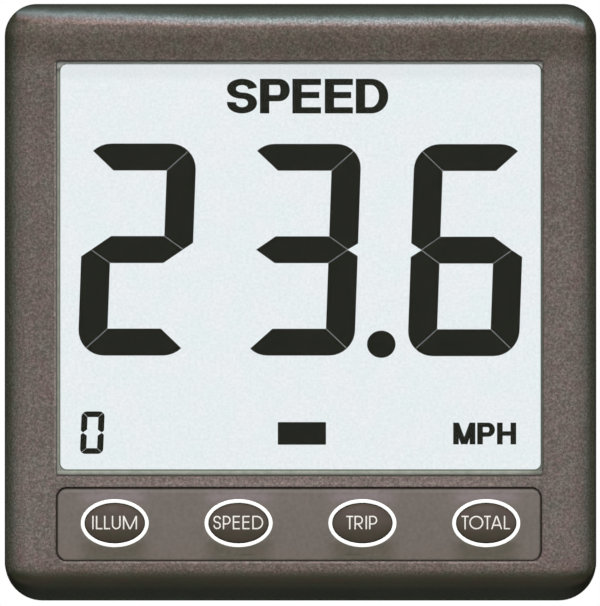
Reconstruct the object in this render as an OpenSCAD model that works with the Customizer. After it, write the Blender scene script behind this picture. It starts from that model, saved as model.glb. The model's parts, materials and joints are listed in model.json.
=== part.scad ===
// Marine speed log: a panel-mounted display head with a liquid crystal window, four keys and a rear clamp.
// Each piece is drawn with x to the right, y up and z out of the front face, and z = 0 is the panel's surface.
// in_part_frame() turns that so that the front faces -Y and up is +Z. Heights with _z are distances from the panel.

/* [Front housing] */
// Width of the front housing
body_w = 110; // [109:1:124]
// Height of the front housing
body_h = 111; // [110:1:124]
// Distance from the panel surface to the front face
front_z = 22; // [20.5:0.5:28]
// Corner radius of the outline at the top
corner_r_top = 6; // [5:0.5:9]
// Corner radius of the outline at the bottom
corner_r_bottom = 7; // [6.5:0.5:9]
// How far the rounded front edge reaches in from each side
edge_side = 4.4; // [2:0.2:4.8]
// How far the rounded front edge reaches down from the top
edge_top = 4.3; // [2:0.2:4.7]
// How far the rounded front edge reaches up from the bottom
edge_bottom = 6; // [3:0.5:6]
// How far the rounded front edge reaches back at the sides and the top
edge_depth = 5; // [3:0.5:8]
// How far the front edge reaches back at the bottom
edge_bottom_depth = 10; // [8:0.5:11]
// How full the front edge is at the bottom, where 2 is a quarter of an oval and 1 is a flat slope
edge_bottom_fill = 1.4; // [1.2:0.1:2]
// Thickness of the side walls
side_wall = 4; // [3.5:0.25:4.5]
// Thickness of the side walls round the rear cover
rim_wall = 2.2; // [1.6:0.1:2.6]
// Thickness of the front wall
front_wall = 2; // [1.8:0.1:3]

/* [Window] */
// Distance from each side of the housing to the window
window_side = 9.75; // [8.75:0.25:13]
// Distance from the top of the housing to the window
window_top = 10.6; // [9.6:0.2:14]
// Thickness of the lens behind the front wall
lens_t = 2; // [1.5:0.1:3]
// Width of the lens flange that is held behind the front wall
lens_flange = 2.2; // [1.8:0.1:2.4]
// How far the lens lies below the front face
lens_sink = 0.3; // [0.1:0.1:1]
// Thickness of the lens seal
lens_seal_t = 0.4; // [0.2:0.1:0.8]

/* [Display cell] */
// Width of the display frame that shows at each side of the display area
view_border_x = 0.6; // [0.3:0.05:1]
// Width of the display frame that shows above and below the display area
view_border_y = 0.75; // [0.4:0.05:1]
// Corner radius of the display area
view_r = 1.2; // [0.5:0.1:3]
// Height of the display area's centre above the window's centre
view_lift = 0.1; // [0:0.05:0.2]
// How far the glass reaches behind the display frame's lip on every side
glass_lap = 1.45; // [1.2:0.05:1.6]
// Thickness of each glass plate
glass_t = 1.1; // [0.7:0.1:1.5]
// Thickness of each polariser
polariser_t = 0.2; // [0.1:0.05:0.3]
// Thickness of the liquid crystal layer, with its dark segments
segment_t = 0.1; // [0.05:0.05:0.2]
// Thickness of the display frame's lip
frame_lip_t = 1.2; // [0.8:0.1:2]
// Width of the rear glass's step at the top and bottom, where the contact strips stand
contact_step = 1.25; // [1.2:0.05:1.3]
// Thickness of each contact strip
contact_t = 1; // [0.8:0.05:1.05]
// Thickness of the diffuser sheet
diffuser_t = 0.2; // [0.1:0.05:0.4]
// Thickness of the light guide
guide_t = 3.9; // [3.6:0.1:5]

/* [Reading] */
// The three large figures that are lit
shown_figures = [2, 3, 6]; // [0:1:9]
// Distance from the left of the display area to the first large figure
figure_left = 3.25; // [2:0.05:6]
// Distance from the last large figure's foot to the right of the display area
figure_right = 4.15; // [3.5:0.05:6]
// Distance from the top of the display area to the large figures
figure_top = 14.85; // [8:0.05:18]
// Distance from the bottom of the display area to the large figures
figure_bottom = 21.15; // [14:0.05:24]
// Gap between the large figures
figure_gap = 9.9; // [7:0.1:12]
// Thickness of a large figure's level strokes
stroke_level = 4.83; // [3:0.1:5.5]
// Thickness of a large figure's upright strokes
stroke_upright = 5.2; // [3:0.1:5.6]
// Outer corner radius of a large figure
figure_r = 4.6; // [1:0.1:5]
// Slant of the figures, as sideways shift per height
slant = 0.04; // [0:0.01:0.1]
// Gap between two strokes of a figure
stroke_gap = 0.2; // [0.1:0.05:0.4]
// Diameter of the decimal point
point_d = 5; // [3:0.1:6]
// Height of the decimal point's centre above the large figures' feet
point_lift = 2.1; // [1.5:0.1:4]
// Width and height of the small figure
small_figure = [4.25, 7.8]; // [3.5:0.05:9]
// Stroke thickness of the small figure
small_stroke = 0.95; // [0.5:0.05:1.2]
// Place of the small figure's lower left corner, from the display area's lower left corner
small_figure_at = [3.45, 2.95]; // [1:0.05:8]
// Width and height of the level bar
bar_size = [8.9, 4.1]; // [3:0.1:12]
// Place of the level bar's centre, from the middle of the display area's lower edge
bar_at = [0.2, 6.55]; // [-8:0.05:10]

/* [Keypad] */
// Distance from each side of the housing to the keypad recess
pad_side = 10; // [8.5:0.5:13]
// Distance from the bottom of the housing to the keypad recess
pad_bottom = 7.6; // [7:0.1:10]
// Height of the keypad recess
pad_h = 13.8; // [12:0.1:16]
// Distance from the keypad recess up to the window
pad_gap = 2.2; // [2:0.1:4]
// Corner radius of the keypad recess
pad_r = 1.8; // [0.5:0.1:4]
// Depth of the keypad recess, down to the mat's surface
pad_sink = 0.4; // [0.2:0.1:0.6]
// Thickness of the keypad mat
mat_t = 0.6; // [0.4:0.1:0.8]
// Distance from the recess's ends to the middle of the first and last key
key_end = 10.5; // [9:0.25:14]
// Width of the white ring's inner edge
ring_w = 11.2; // [9:0.1:12]
// Height of the white ring's inner edge
ring_h = 7.5; // [6:0.1:8]
// Width of the white ring's line
ring_line = 0.74; // [0.4:0.02:1]
// Thickness of the white ring's print
ring_t = 0.06; // [0.04:0.02:0.15]
// How far a key's crown stands over the mat
key_crown = 0.7; // [0.4:0.1:1.2]
// How far a key's upper edge lies below its crown at the ends
key_fall = 0.6; // [0.2:0.1:0.7]
// How far the key's flange reaches past its cap
key_lap = 1.2; // [0.8:0.1:1.6]
// Thickness of a key's flange
key_flange_t = 0.8; // [0.6:0.1:1.2]
// Travel of a key
key_travel = 0.5; // [0.2:0.1:0.8]
// Gap all round a key's cap
key_gap = 0.12; // [0.08:0.02:0.25]

/* [Circuit board] */
// Thickness of the circuit board
board_t = 1.6; // [1:0.2:2]
// Distance from the middle to the board's screws, sideways
board_screw_x = 23; // [21.5:0.5:24.5]
// Distance from the cavity's wall to the board's screws
board_screw_inset = 2; // [1.9:0.05:2.1]
// Radius of the board's screws
board_screw_r = 1; // [0.8:0.1:1.1]
// Radius of the bosses that the board is screwed to
board_boss_r = 2.2; // [2:0.1:2.3]
// Side of a key switch's body
switch_side = 6; // [5:0.2:7]
// Height of a key switch's body
switch_h = 3.5; // [3:0.1:5]
// Radius of a key switch's plunger
plunger_r = 1.7; // [1.2:0.1:2]

/* [Rear cover] */
// Distance from the panel surface to the rear cover
cover_z = 0.8; // [0.4:0.1:1.2]
// Thickness of the rear cover's plate
cover_t = 3; // [2.6:0.1:4]
// Thickness of the case seal
case_seal_t = 0.8; // [0.5:0.1:1.2]
// How far the housing's face reaches past the barrel that goes through the panel
face_lap = 11.9; // [11:0.1:15]
// Depth of the barrel behind the panel surface
barrel_depth = 20; // [18:0.5:22]
// Wall of the barrel and of its end
barrel_wall = 2.5; // [2:0.1:3.5]
// Radial gap between the barrel and the panel gasket
gasket_gap = 1.4; // [0.8:0.1:2]
// Radial width of the panel gasket
gasket_w = 4.5; // [3:0.1:5.4]
// Distance from the housing's sides to the case screws
screw_inset = 6; // [5.8:0.1:6.2]
// Radius of the case screws
case_screw_r = 1.45; // [1.2:0.05:1.6]
// Length of the case screws under the head
case_screw_l = 12; // [8:0.5:14]
// Radius of the corner posts
post_r = 3.4; // [3.2:0.1:3.6]

/* [Clamp] */
// Radius of the stud
stud_r = 2.5; // [2:0.25:3]
// Length of the stud's thread in the thumb nut at the thickest panel
stud_grip = 8; // [6:0.5:10]
// Thickness of the panel that the clamp stands set for
panel_t = 6; // [5:0.5:12]
// Thinnest panel that the clamp can hold
panel_min = 2; // [1:0.5:3]
// Thickest panel that the clamp can hold
panel_max = 22; // [16:0.5:26]
// Width of the clamp bracket's strip
bracket_w = 16; // [12:0.5:17]
// Thickness of the clamp bracket's strip
bracket_t = 2; // [1.5:0.1:2.5]
// Gap between the barrel and the inside of each bracket leg
bracket_side = 2.9; // [2:0.1:4.5]
// Gap between the bracket and the stud's nut at the thinnest panel
bracket_clear = 1; // [0.5:0.5:4]
// Inner radius of the bracket's bends
bracket_bend_r = 2; // [1:0.5:4]
// Outer radius of the clamp washer
washer_r = 7; // [6:0.5:8]
// Thickness of the clamp washer
washer_t = 1; // [0.8:0.1:1.6]
// Radius over the ribs of the thumb nut
nut_r = 8.5; // [7:0.5:11]
// Height of the thumb nut
nut_h = 11; // [8:0.5:14]
// Number of ribs round the thumb nut
nut_ribs = 30; // [16:2:40]
// Depth of the thumb nut's ribs
nut_rib_depth = 0.6; // [0.3:0.1:0.9]

/* [Cable entries] */
// Distance from the stud's axis to each cable entry
entry_y = 24; // [23:0.5:26]
// Radius of the gland's threaded body
gland_r = 5; // [4.5:0.1:5.5]
// Radius of the power cable's hole in the gland's seal
cable_r = 2.6; // [2:0.1:3]
// Distance across the gland's flats
gland_flats = 14; // [12:0.5:15]
// Wall of the sensor socket's collar
socket_wall = 1.3; // [1.1:0.1:2]
// Radius of the hole that the sensor's plug goes into
plug_r = 5.2; // [4.6:0.1:5.4]
// Depth of the hole that the sensor's plug goes into
plug_depth = 7; // [5:0.5:8]

/* [Hidden] */
$fn = 64;
// Overlap of a cut with what it cuts
eps = 0.01;
// Gap between pieces that drop into each other
fit_gap = 0.15;
// Radial gap of a piece that turns or slides on another
run_gap = 0.05;
// Radial gap of a screw in a plain hole
hole_gap = 0.25;
// Corner radius of the cavity
cavity_r = 1.5;
oval_steps = 48;
corner_steps = 9;
edge_steps = 10;
edge_low_steps = 5;

window_w = body_w - 2 * window_side;
window_h = body_h - window_top - pad_gap - pad_h - pad_bottom;
window_y = body_h / 2 - window_top - window_h / 2;
pad_w = body_w - 2 * pad_side;
key_y = -body_h / 2 + pad_bottom + pad_h / 2;
key_pitch = (pad_w - 2 * key_end) / 3;
barrel_r = min(body_w, body_h) / 2 - face_lap;
gasket_inner_r = barrel_r + gasket_gap;
gasket_outer_r = gasket_inner_r + gasket_w;
bracket_leg_x = barrel_r + bracket_side;

cavity_w = body_w - 2 * side_wall;
cavity_h = body_h - 2 * side_wall;
rim_w = body_w - 2 * rim_wall;
rim_h = body_h - 2 * rim_wall;
inside_z = front_z - front_wall;
cover_top_z = cover_z + cover_t;
ledge_z = cover_top_z + case_seal_t;
// The bottom wall is thicker where the front edge slopes over it
sill_h = side_wall + edge_bottom * edge_in(front_wall, edge_bottom_depth, edge_bottom_fill);
sill_z = front_z - 0.6 * edge_bottom_depth;

lens_top_z = inside_z - lens_seal_t;
lens_back_z = lens_top_z - lens_t;
flange_w = window_w + 2 * lens_flange;
flange_h = window_h + 2 * lens_flange;
flange_r = 2.2;

view_w = window_w - 2 * view_border_x;
view_h = window_h - 2 * view_border_y;
view_y = window_y + view_lift;
polariser_top_z = lens_back_z - frame_lip_t;
front_glass_top_z = polariser_top_z - polariser_t;
segment_top_z = front_glass_top_z - glass_t;
rear_glass_top_z = segment_top_z - segment_t;
rear_polariser_top_z = rear_glass_top_z - glass_t;
diffuser_top_z = rear_polariser_top_z - polariser_t;
guide_top_z = diffuser_top_z - diffuser_t;
board_top_z = guide_top_z - guide_t;
board_back_z = board_top_z - board_t;
glass_w = view_w + 2 * glass_lap;
glass_h = view_h + 2 * glass_lap + 2 * fit_gap;
rear_glass_h = glass_h - 2 * contact_step;
contact_end = 3;
guide_w = glass_w;
guide_h = rear_glass_h - 2 * fit_gap;

figure_w = (view_w - figure_left - figure_right - 2 * figure_gap) / 3;
figure_h = view_h - figure_top - figure_bottom;
figure_x = [for (i = [0 : 2]) -view_w / 2 + figure_left + i * (figure_w + figure_gap)];
figure_y = -view_h / 2 + figure_bottom;
point_x = figure_x[2] - figure_gap / 2 + slant * point_lift;
led_w = 2.2;
led_l = 4;
led_base_h = 1.2;
led_h = 2.8;

mat_z = front_z - pad_sink;
pad_floor_z = mat_z - mat_t;
key_cap_w = ring_w - 2 * key_gap;
key_cap_h = ring_h - 2 * key_gap;
key_top_z = mat_z + key_crown;
key_flange_top_z = inside_z - 0.1;
key_flange_z = key_flange_top_z - key_flange_t;
key_stem_z = key_flange_z - 0.5;
key_dome_r = (pow(key_cap_w / 2, 2) + pow(key_fall, 2)) / (2 * key_fall);
key_x = [for (i = [-1.5 : 1 : 1.5]) i * key_pitch];
switch_top_z = board_top_z + switch_h;
plunger_bottom_z = switch_top_z - 2;

case_spots = [for (sx = [-1, 1], sy = [-1, 1]) [sx * (body_w / 2 - screw_inset), sy * (body_h / 2 - screw_inset)]];
board_spots = [for (sx = [-1, 1], sy = [-1, 1]) [sx * board_screw_x, sy * (cavity_h / 2 - board_screw_inset)]];
case_head_r = case_screw_r + 1.35;
case_head_t = 1.7;
case_head_z = cover_z + case_head_t + 0.3;
board_head_t = 1.3;
board_head_r = board_screw_r + 0.75;

chip_at = [0, 22];
chip_side = 14;
chip_t = 2.4;
chip_pins = 8;
chip_pin_pitch = 1.5;
chip_pin_l = 1.5;
chip_pin_t = 0.3;
crystal_at = [17, 22];
crystal_w = 3.6;
crystal_l = 6.4;
crystal_h = 3.5;
cap_at = [[-19, 4], [-19, -6], [-19, -15]];
cap_r = [4, 3.2, 3.2];
cap_h = [11, 8, 8];
regulator_at = [19, 2];
regulator_w = 10;
regulator_l = 15;
regulator_h = 4.4;
regulator_tab_t = 1.3;
header_pitch = 2.54;
header_w = 6;
header_h = 8;
header_wall = 0.8;
power_header_at = [6, -22];
sensor_header_at = [-6, -22];

barrel_end_z = -barrel_depth;
barrel_floor_z = barrel_end_z + barrel_wall;
barrel_edge = 1;
stud_head_t = 3.5;
stud_head_flats = 3.2 * stud_r;
stud_seal_t = 1;
stud_nut_t = 4;
stud_nut_z = barrel_end_z - stud_seal_t;
bracket_leg_l = barrel_depth + stud_seal_t + stud_nut_t + bracket_clear - panel_min;
bridge_z = -panel_t - bracket_leg_l;
washer_z = bridge_z - bracket_t;
nut_z = washer_z - washer_t;
stud_end_z = nut_z - (panel_max - panel_t) - stud_grip;

entry_nut_t = 3;
gland_flange_t = 3;
gland_seal_t = 7;
gland_face_z = barrel_end_z - gland_flange_t;
gland_end_z = gland_face_z - gland_seal_t;
gland_bore_r = cable_r + 0.5;
socket_flange_t = 2;
socket_r = plug_r + socket_wall;
socket_neck_r = plug_r + 0.8;
socket_tail = 6;
socket_mouth_z = barrel_end_z - socket_flange_t - plug_depth - 2;
insert_z = socket_mouth_z + plug_depth;
insert_r = plug_r - 0.4;
contact_r = 1;
contact_bore_r = 0.55;
contact_out = 3;
contact_ring_r = 2.7;
contact_spots = [for (a = [90, 210, 330]) [contact_ring_r * cos(a), contact_ring_r * sin(a)]];

// The strokes of each figure, from 0 to 9: a is the top one, b to f go round clockwise, and g is the middle one
FIGURE_STROKES = ["abcdef", "bc", "abged", "abgcd", "fgbc", "afgcd", "afgecd", "abc", "abcdefg", "abcdfg"];

// Turns face coordinates into the part's frame
module in_part_frame() {
    rotate([90, 0, 0]) children();
}

// A flat outline given thickness between two heights
module slab(z0, z1) {
    translate([0, 0, z0]) linear_extrude(z1 - z0) children();
}

// A six-sided outline of a given distance across its flats
module hexagon(flats) {
    circle(r = flats / sqrt(3), $fn = 6);
}

// A rectangle with its own corner radius at the top and at the bottom
module plate_outline(w, h, r_top, r_bottom) {
    translate([-w / 2, -h / 2 + r_bottom]) square([w, h - r_top - r_bottom]);
    translate([-w / 2 + r_top, -h / 2 + r_bottom]) square([w - 2 * r_top, h - r_bottom]);
    translate([-w / 2 + r_bottom, -h / 2]) square([w - 2 * r_bottom, h - r_top]);
    for (sx = [-1, 1]) {
        translate([sx * (w / 2 - r_top), h / 2 - r_top]) circle(r_top);
        translate([sx * (w / 2 - r_bottom), -h / 2 + r_bottom]) circle(r_bottom);
    }
}

module rounded_outline(w, h, r) {
    plate_outline(w, h, r, r);
}

function oval_points(w, h) = [for (i = [0 : oval_steps - 1])
    let (a = 360 * i / oval_steps) [w / 2 * cos(a), h / 2 * sin(a)]];

module at_each(spots) {
    for (p = spots) translate(p) children();
}

module at_each_key() {
    for (x = key_x) translate([x, key_y]) children();
}

module at_window() {
    translate([0, window_y]) children();
}

module at_view() {
    translate([0, view_y]) children();
}

// One corner of the housing's outline, drawn in by ix and iy, as a quarter of an oval
function corner_points(sx, sy, r, ix, iy) = [for (i = [0 : corner_steps])
    let (a = 90 * (sx * sy > 0 ? i : corner_steps - i) / corner_steps)
    [sx * (body_w / 2 - r + (r - ix) * cos(a)), sy * (body_h / 2 - r + (r - iy) * sin(a))]];

// How far in a front edge is at depth s behind the front face, from 1 at the front to 0 where the edge ends
function edge_in(s, depth, fill) =
    s >= depth ? 0 : 1 - pow(1 - pow(1 - s / depth, fill), 1 / fill);

// The housing's outline at depth s behind the front face
function edge_ring(s) =
    let (in = edge_in(s, edge_depth, 2), low = edge_in(s, edge_bottom_depth, edge_bottom_fill)) concat(
    corner_points(1, 1, corner_r_top, edge_side * in, edge_top * in),
    corner_points(-1, 1, corner_r_top, edge_side * in, edge_top * in),
    corner_points(-1, -1, corner_r_bottom, edge_side * in, edge_bottom * low),
    corner_points(1, -1, corner_r_bottom, edge_side * in, edge_bottom * low));

// The outer skin of the housing, with a round front edge that slopes further back at the bottom
module housing_block() {
    depths = concat(
        [for (i = [0 : edge_low_steps - 1])
            edge_bottom_depth + (edge_depth - edge_bottom_depth) * i / edge_low_steps],
        [for (i = [0 : edge_steps]) edge_depth * (1 - sin(90 * i / edge_steps))]);
    base = [for (p = edge_ring(front_z - cover_z)) [p[0], p[1], cover_z]];
    edge = [for (s = depths, p = edge_ring(s)) [p[0], p[1], front_z - s]];
    n = len(base);
    rings = len(depths) + 1;
    sides = [for (k = [0 : rings - 2], i = [0 : n - 1])
        [k * n + i, (k + 1) * n + i, (k + 1) * n + (i + 1) % n, k * n + (i + 1) % n]];
    back = [[for (i = [0 : n - 1]) i]];
    front = [[for (i = [n - 1 : -1 : 0]) (rings - 1) * n + i]];
    polyhedron(concat(base, edge), concat(back, sides, front), convexity = 4);
}

// The inside of the housing, between its corner posts, smaller by a gap
module cavity_outline(gap) {
    difference() {
        rounded_outline(cavity_w - 2 * gap, cavity_h - 2 * gap, cavity_r);
        at_each(case_spots) circle(post_r + gap);
    }
}

// The space that the rear cover and the case seal lie in, smaller by a gap
module rim_outline(gap) {
    plate_outline(rim_w - 2 * gap, rim_h - 2 * gap, corner_r_top - rim_wall, corner_r_bottom - rim_wall);
}

// The outline of what lies behind the window, kept clear of the corner posts and the board's bosses
module behind_window_outline() {
    difference() {
        at_window() rounded_outline(flange_w, flange_h, flange_r);
        at_each(case_spots) circle(post_r + fit_gap);
        at_each(board_spots) circle(board_boss_r + fit_gap);
    }
}

// The inside of the housing, round the board's bosses and above the sill behind the bottom edge
module cavity() {
    difference() {
        slab(cover_z - eps, inside_z) cavity_outline(0);
        at_each(board_spots) slab(board_top_z, inside_z + eps) circle(board_boss_r);
        slab(sill_z, inside_z + eps) translate([-body_w / 2, -body_h / 2]) square([body_w, sill_h]);
    }
}

module front_housing() {
    color("#6d625c") in_part_frame() difference() {
        housing_block();
        cavity();
        slab(cover_z - eps, ledge_z) rim_outline(0);
        at_window() slab(inside_z - eps, front_z + eps) square([window_w, window_h], center = true);
        translate([0, key_y]) slab(pad_floor_z, front_z + eps) rounded_outline(pad_w, pad_h, pad_r);
        at_each_key() slab(inside_z - eps, pad_floor_z + eps)
            polygon(oval_points(ring_w + 2 * fit_gap, ring_h + 2 * fit_gap));
        at_each(case_spots) slab(ledge_z - eps, case_head_z + case_screw_l + 1) circle(case_screw_r + run_gap);
        at_each(board_spots) slab(board_top_z - eps, inside_z - 2) circle(board_screw_r + run_gap);
    }
}

module window_lens() {
    color("#dfe8e6", 0.35) in_part_frame() {
        slab(lens_back_z, lens_top_z) behind_window_outline();
        at_window() slab(lens_back_z + eps, front_z - lens_sink)
            square([window_w - fit_gap, window_h - fit_gap], center = true);
    }
}

module lens_seal() {
    color("#2b2b28") in_part_frame() slab(lens_top_z, inside_z) difference() {
        behind_window_outline();
        at_window() square([window_w + fit_gap, window_h + fit_gap], center = true);
    }
}

// Holds the display cell, the diffuser and the light guide against the lens
module display_frame() {
    pocket_r = 0.4;
    color("#8c9089") in_part_frame() difference() {
        slab(board_top_z, lens_back_z) behind_window_outline();
        at_view() slab(board_top_z - eps, polariser_top_z)
            rounded_outline(glass_w + 2 * fit_gap, glass_h + 2 * fit_gap, pocket_r);
        at_view() slab(polariser_top_z - eps, lens_back_z + eps) rounded_outline(view_w, view_h, view_r);
    }
}

module front_polariser() {
    color("#cfd8d2", 0.4) in_part_frame() at_view()
        slab(front_glass_top_z, polariser_top_z) square([glass_w - 1, rear_glass_h], center = true);
}

module front_glass() {
    color("#dcebe8", 0.35) in_part_frame() at_view()
        slab(segment_top_z, front_glass_top_z) square([glass_w, glass_h], center = true);
}

module rear_glass() {
    color("#dcebe8", 0.5) in_part_frame() at_view()
        slab(rear_polariser_top_z, rear_glass_top_z) square([glass_w, rear_glass_h], center = true);
}

// The line of glue that closes the liquid crystal layer round its edge
module cell_seal() {
    color("#b9c4bd") in_part_frame() at_view() slab(rear_glass_top_z, segment_top_z) difference() {
        square([glass_w, rear_glass_h], center = true);
        square([view_w + 0.6, view_h + 0.1], center = true);
    }
}

function slanted(points) = [for (p = points) [p[0] + slant * p[1], p[1]]];
function flip_x(points, w) = [for (p = points) [w - p[0], p[1]]];
function flip_y(points, h) = [for (p = points) [p[0], h - p[1]]];

// The outline of a whole figure, with rounded corners
function figure_outline(w, h, r) = [for (q = [0 : 3], i = [0 : 6])
    let (a = 90 * q + 15 * i, sx = (q == 0 || q == 3) ? 1 : -1, sy = q < 2 ? 1 : -1)
    [w / 2 + sx * (w / 2 - r) + r * cos(a), h / 2 + sy * (h / 2 - r) + r * sin(a)]];

// The outline of one stroke: w and h are the figure's, u and v its upright and level stroke thicknesses
function stroke_points(name, w, h, u, v) =
    let (g = 0.7 * stroke_gap, tip = 0.38 * u, notch = 0.25 * v,
        top = [[g, h], [w - g, h], [w - u - g, h - v], [u + g, h - v]],
        right = [[w, h - g], [w - u, h - v - g], [w - u, h / 2 + v / 2 + g], [w - tip, h / 2 + g],
            [w, h / 2 + notch]],
        middle = [[tip + g, h / 2], [u + g, h / 2 + v / 2], [w - u - g, h / 2 + v / 2],
            [w - tip - g, h / 2], [w - u - g, h / 2 - v / 2], [u + g, h / 2 - v / 2]])
    name == "a" ? top :
    name == "b" ? right :
    name == "c" ? flip_y(right, h) :
    name == "d" ? flip_y(top, h) :
    name == "e" ? flip_x(flip_y(right, h), w) :
    name == "f" ? flip_x(right, w) :
    middle;

// A figure drawn with the named strokes, from its lower left corner
module figure(strokes, w, h, u, v, r) {
    for (name = strokes) intersection() {
        polygon(slanted(stroke_points(name, w, h, u, v)));
        polygon(slanted(figure_outline(w, h, r)));
    }
}

module display_segments() {
    color("#26241f") in_part_frame() at_view() slab(rear_glass_top_z, segment_top_z) {
        for (i = [0 : 2]) translate([figure_x[i], figure_y])
            figure(FIGURE_STROKES[shown_figures[i]], figure_w, figure_h, stroke_upright, stroke_level, figure_r);
        translate([point_x, figure_y + point_lift]) circle(d = point_d);
        translate([small_figure_at[0] - view_w / 2, small_figure_at[1] - view_h / 2])
            figure(FIGURE_STROKES[0], small_figure[0], small_figure[1], small_stroke, small_stroke, small_stroke);
        translate([bar_at[0], bar_at[1] - view_h / 2]) square(bar_size, center = true);
    }
}

module rear_polariser() {
    color("#c9d3c4") in_part_frame() at_view()
        slab(diffuser_top_z, rear_polariser_top_z) square([guide_w - 1, guide_h], center = true);
}

module diffuser() {
    color("#f2f4f2") in_part_frame() at_view()
        slab(guide_top_z, diffuser_top_z) square([guide_w - 1, guide_h], center = true);
}

// Clear plate behind the display, with a notch at each side for a lamp
module light_guide() {
    color("#e4eef0", 0.6) in_part_frame() at_view() slab(board_top_z, guide_top_z) difference() {
        square([guide_w, guide_h], center = true);
        for (sx = [-1, 1]) translate([sx * guide_w / 2, 0])
            square([2 * (led_w + 2 * fit_gap), led_l + 2 * fit_gap], center = true);
    }
}

module backlight_leds() {
    color("#f0d9a0") in_part_frame() at_view() for (sx = [-1, 1]) translate([sx * (guide_w / 2 - led_w / 2), 0]) {
        slab(board_top_z, board_top_z + led_base_h) square([led_w, led_l], center = true);
        slab(board_top_z + led_base_h - eps, board_top_z + led_h)
            square([0.8 * led_w, 0.75 * led_l], center = true);
    }
}

// The conducting rubber strips that join the board to the front glass
module contact_strips() {
    color("#3a3a3a") in_part_frame() at_view() for (sy = [-1, 1])
        translate([0, sy * (glass_h / 2 - contact_step / 2)])
            slab(board_top_z, segment_top_z) square([glass_w - 2 * contact_end, contact_t], center = true);
}

module circuit_board() {
    color("#2f5a3a") in_part_frame() slab(board_back_z, board_top_z) difference() {
        cavity_outline(2 * fit_gap);
        at_each(board_spots) circle(board_screw_r + hole_gap);
    }
}

module cross_recess(size, depth) {
    for (a = [0, 90]) rotate(a) translate([-size / 2, -size / 8, 0]) cube([size, size / 4, depth]);
}

module board_screws() {
    color("silver") in_part_frame() at_each(board_spots) difference() {
        union() {
            slab(board_back_z - board_head_t, board_back_z) circle(board_head_r);
            slab(board_back_z - eps, inside_z - 3) circle(board_screw_r);
        }
        translate([0, 0, board_back_z - board_head_t - eps]) cross_recess(2.2 * board_screw_r, 0.7);
    }
}

module microcontroller() {
    color("#1d1d1f") in_part_frame() translate(chip_at) {
        slab(board_back_z - chip_t, board_back_z) square(chip_side, center = true);
        for (side = [0 : 90 : 270], i = [0 : chip_pins - 1]) rotate(side)
            translate([(i - (chip_pins - 1) / 2) * chip_pin_pitch, chip_side / 2 + chip_pin_l / 3])
                slab(board_back_z - chip_pin_t, board_back_z)
                    square([chip_pin_pitch / 3, chip_pin_l], center = true);
    }
}

module crystal() {
    color("silver") in_part_frame() translate(crystal_at) slab(board_back_z - crystal_h, board_back_z) {
        square([crystal_w, crystal_l], center = true);
        for (sy = [-1, 1]) translate([0, sy * crystal_l / 2]) circle(crystal_w / 2);
    }
}

module capacitors() {
    groove = 0.5;
    color("#22304c") in_part_frame() for (i = [0 : len(cap_at) - 1])
        translate(cap_at[i]) difference() {
            slab(board_back_z - cap_h[i], board_back_z) circle(cap_r[i]);
            ring(cap_r[i] - 2 * groove, cap_r[i] - groove, board_back_z - cap_h[i] - eps,
                board_back_z - cap_h[i] + 0.6 * groove);
        }
}

// A moulded block on a metal tab, with three legs
module voltage_regulator() {
    leg_l = 0.4 * regulator_l;
    color("#2a2a2c") in_part_frame() translate(regulator_at) difference() {
        union() {
            slab(board_back_z - regulator_tab_t, board_back_z) square([regulator_w, regulator_l], center = true);
            translate([0, -0.2 * regulator_l]) slab(board_back_z - regulator_h, board_back_z)
                square([regulator_w, 0.6 * regulator_l], center = true);
            for (i = [-1 : 1]) translate([i * header_pitch, -regulator_l / 2 - 0.4 * leg_l])
                slab(board_back_z - 0.4 * regulator_tab_t, board_back_z)
                    square([0.1 * regulator_w, leg_l], center = true);
        }
        translate([0, 0.3 * regulator_l]) slab(board_back_z - 2 * regulator_tab_t, board_back_z + eps)
            circle(0.18 * regulator_w);
    }
}

// A shrouded plug header with a row of pins
module pin_header(pins) {
    w = header_pitch * pins + 2.5 * header_wall;
    difference() {
        slab(board_back_z - header_h, board_back_z) square([w, header_w], center = true);
        slab(board_back_z - header_h - eps, board_back_z - 2 * header_wall)
            square([w - 2 * header_wall, header_w - 2 * header_wall], center = true);
    }
    for (i = [0 : pins - 1]) translate([(i - (pins - 1) / 2) * header_pitch, 0])
        slab(board_back_z - header_h + 1.2 * header_wall, board_back_z - header_wall)
            square(header_pitch / 4, center = true);
}

module power_header() {
    color("ivory") in_part_frame() translate(power_header_at) pin_header(2);
}

module sensor_header() {
    color("ivory") in_part_frame() translate(sensor_header_at) pin_header(3);
}

module switch_bodies() {
    color("#202022") in_part_frame() at_each_key() difference() {
        slab(board_top_z, switch_top_z) square(switch_side, center = true);
        slab(plunger_bottom_z - key_travel - 0.3, switch_top_z + eps) circle(plunger_r + run_gap);
    }
}

// The part of a key's switch that goes down with the key
module plunger(i) {
    color("#d8d8d4") in_part_frame() translate([key_x[i], key_y])
        slab(plunger_bottom_z, key_stem_z) circle(plunger_r);
}

module plunger_light() {
    plunger(0);
}

module plunger_speed() {
    plunger(1);
}

module plunger_trip() {
    plunger(2);
}

module plunger_total() {
    plunger(3);
}

module keypad_mat() {
    color("#73685f") in_part_frame() slab(pad_floor_z, mat_z) difference() {
        translate([0, key_y]) rounded_outline(pad_w - 2 * fit_gap, pad_h - 2 * fit_gap, pad_r - fit_gap);
        at_each_key() polygon(oval_points(ring_w, ring_h));
    }
}

module key_rings() {
    color("white") in_part_frame() at_each_key() slab(mat_z, mat_z + ring_t) difference() {
        polygon(oval_points(ring_w + 2 * ring_line, ring_h + 2 * ring_line));
        polygon(oval_points(ring_w, ring_h));
    }
}

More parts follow.
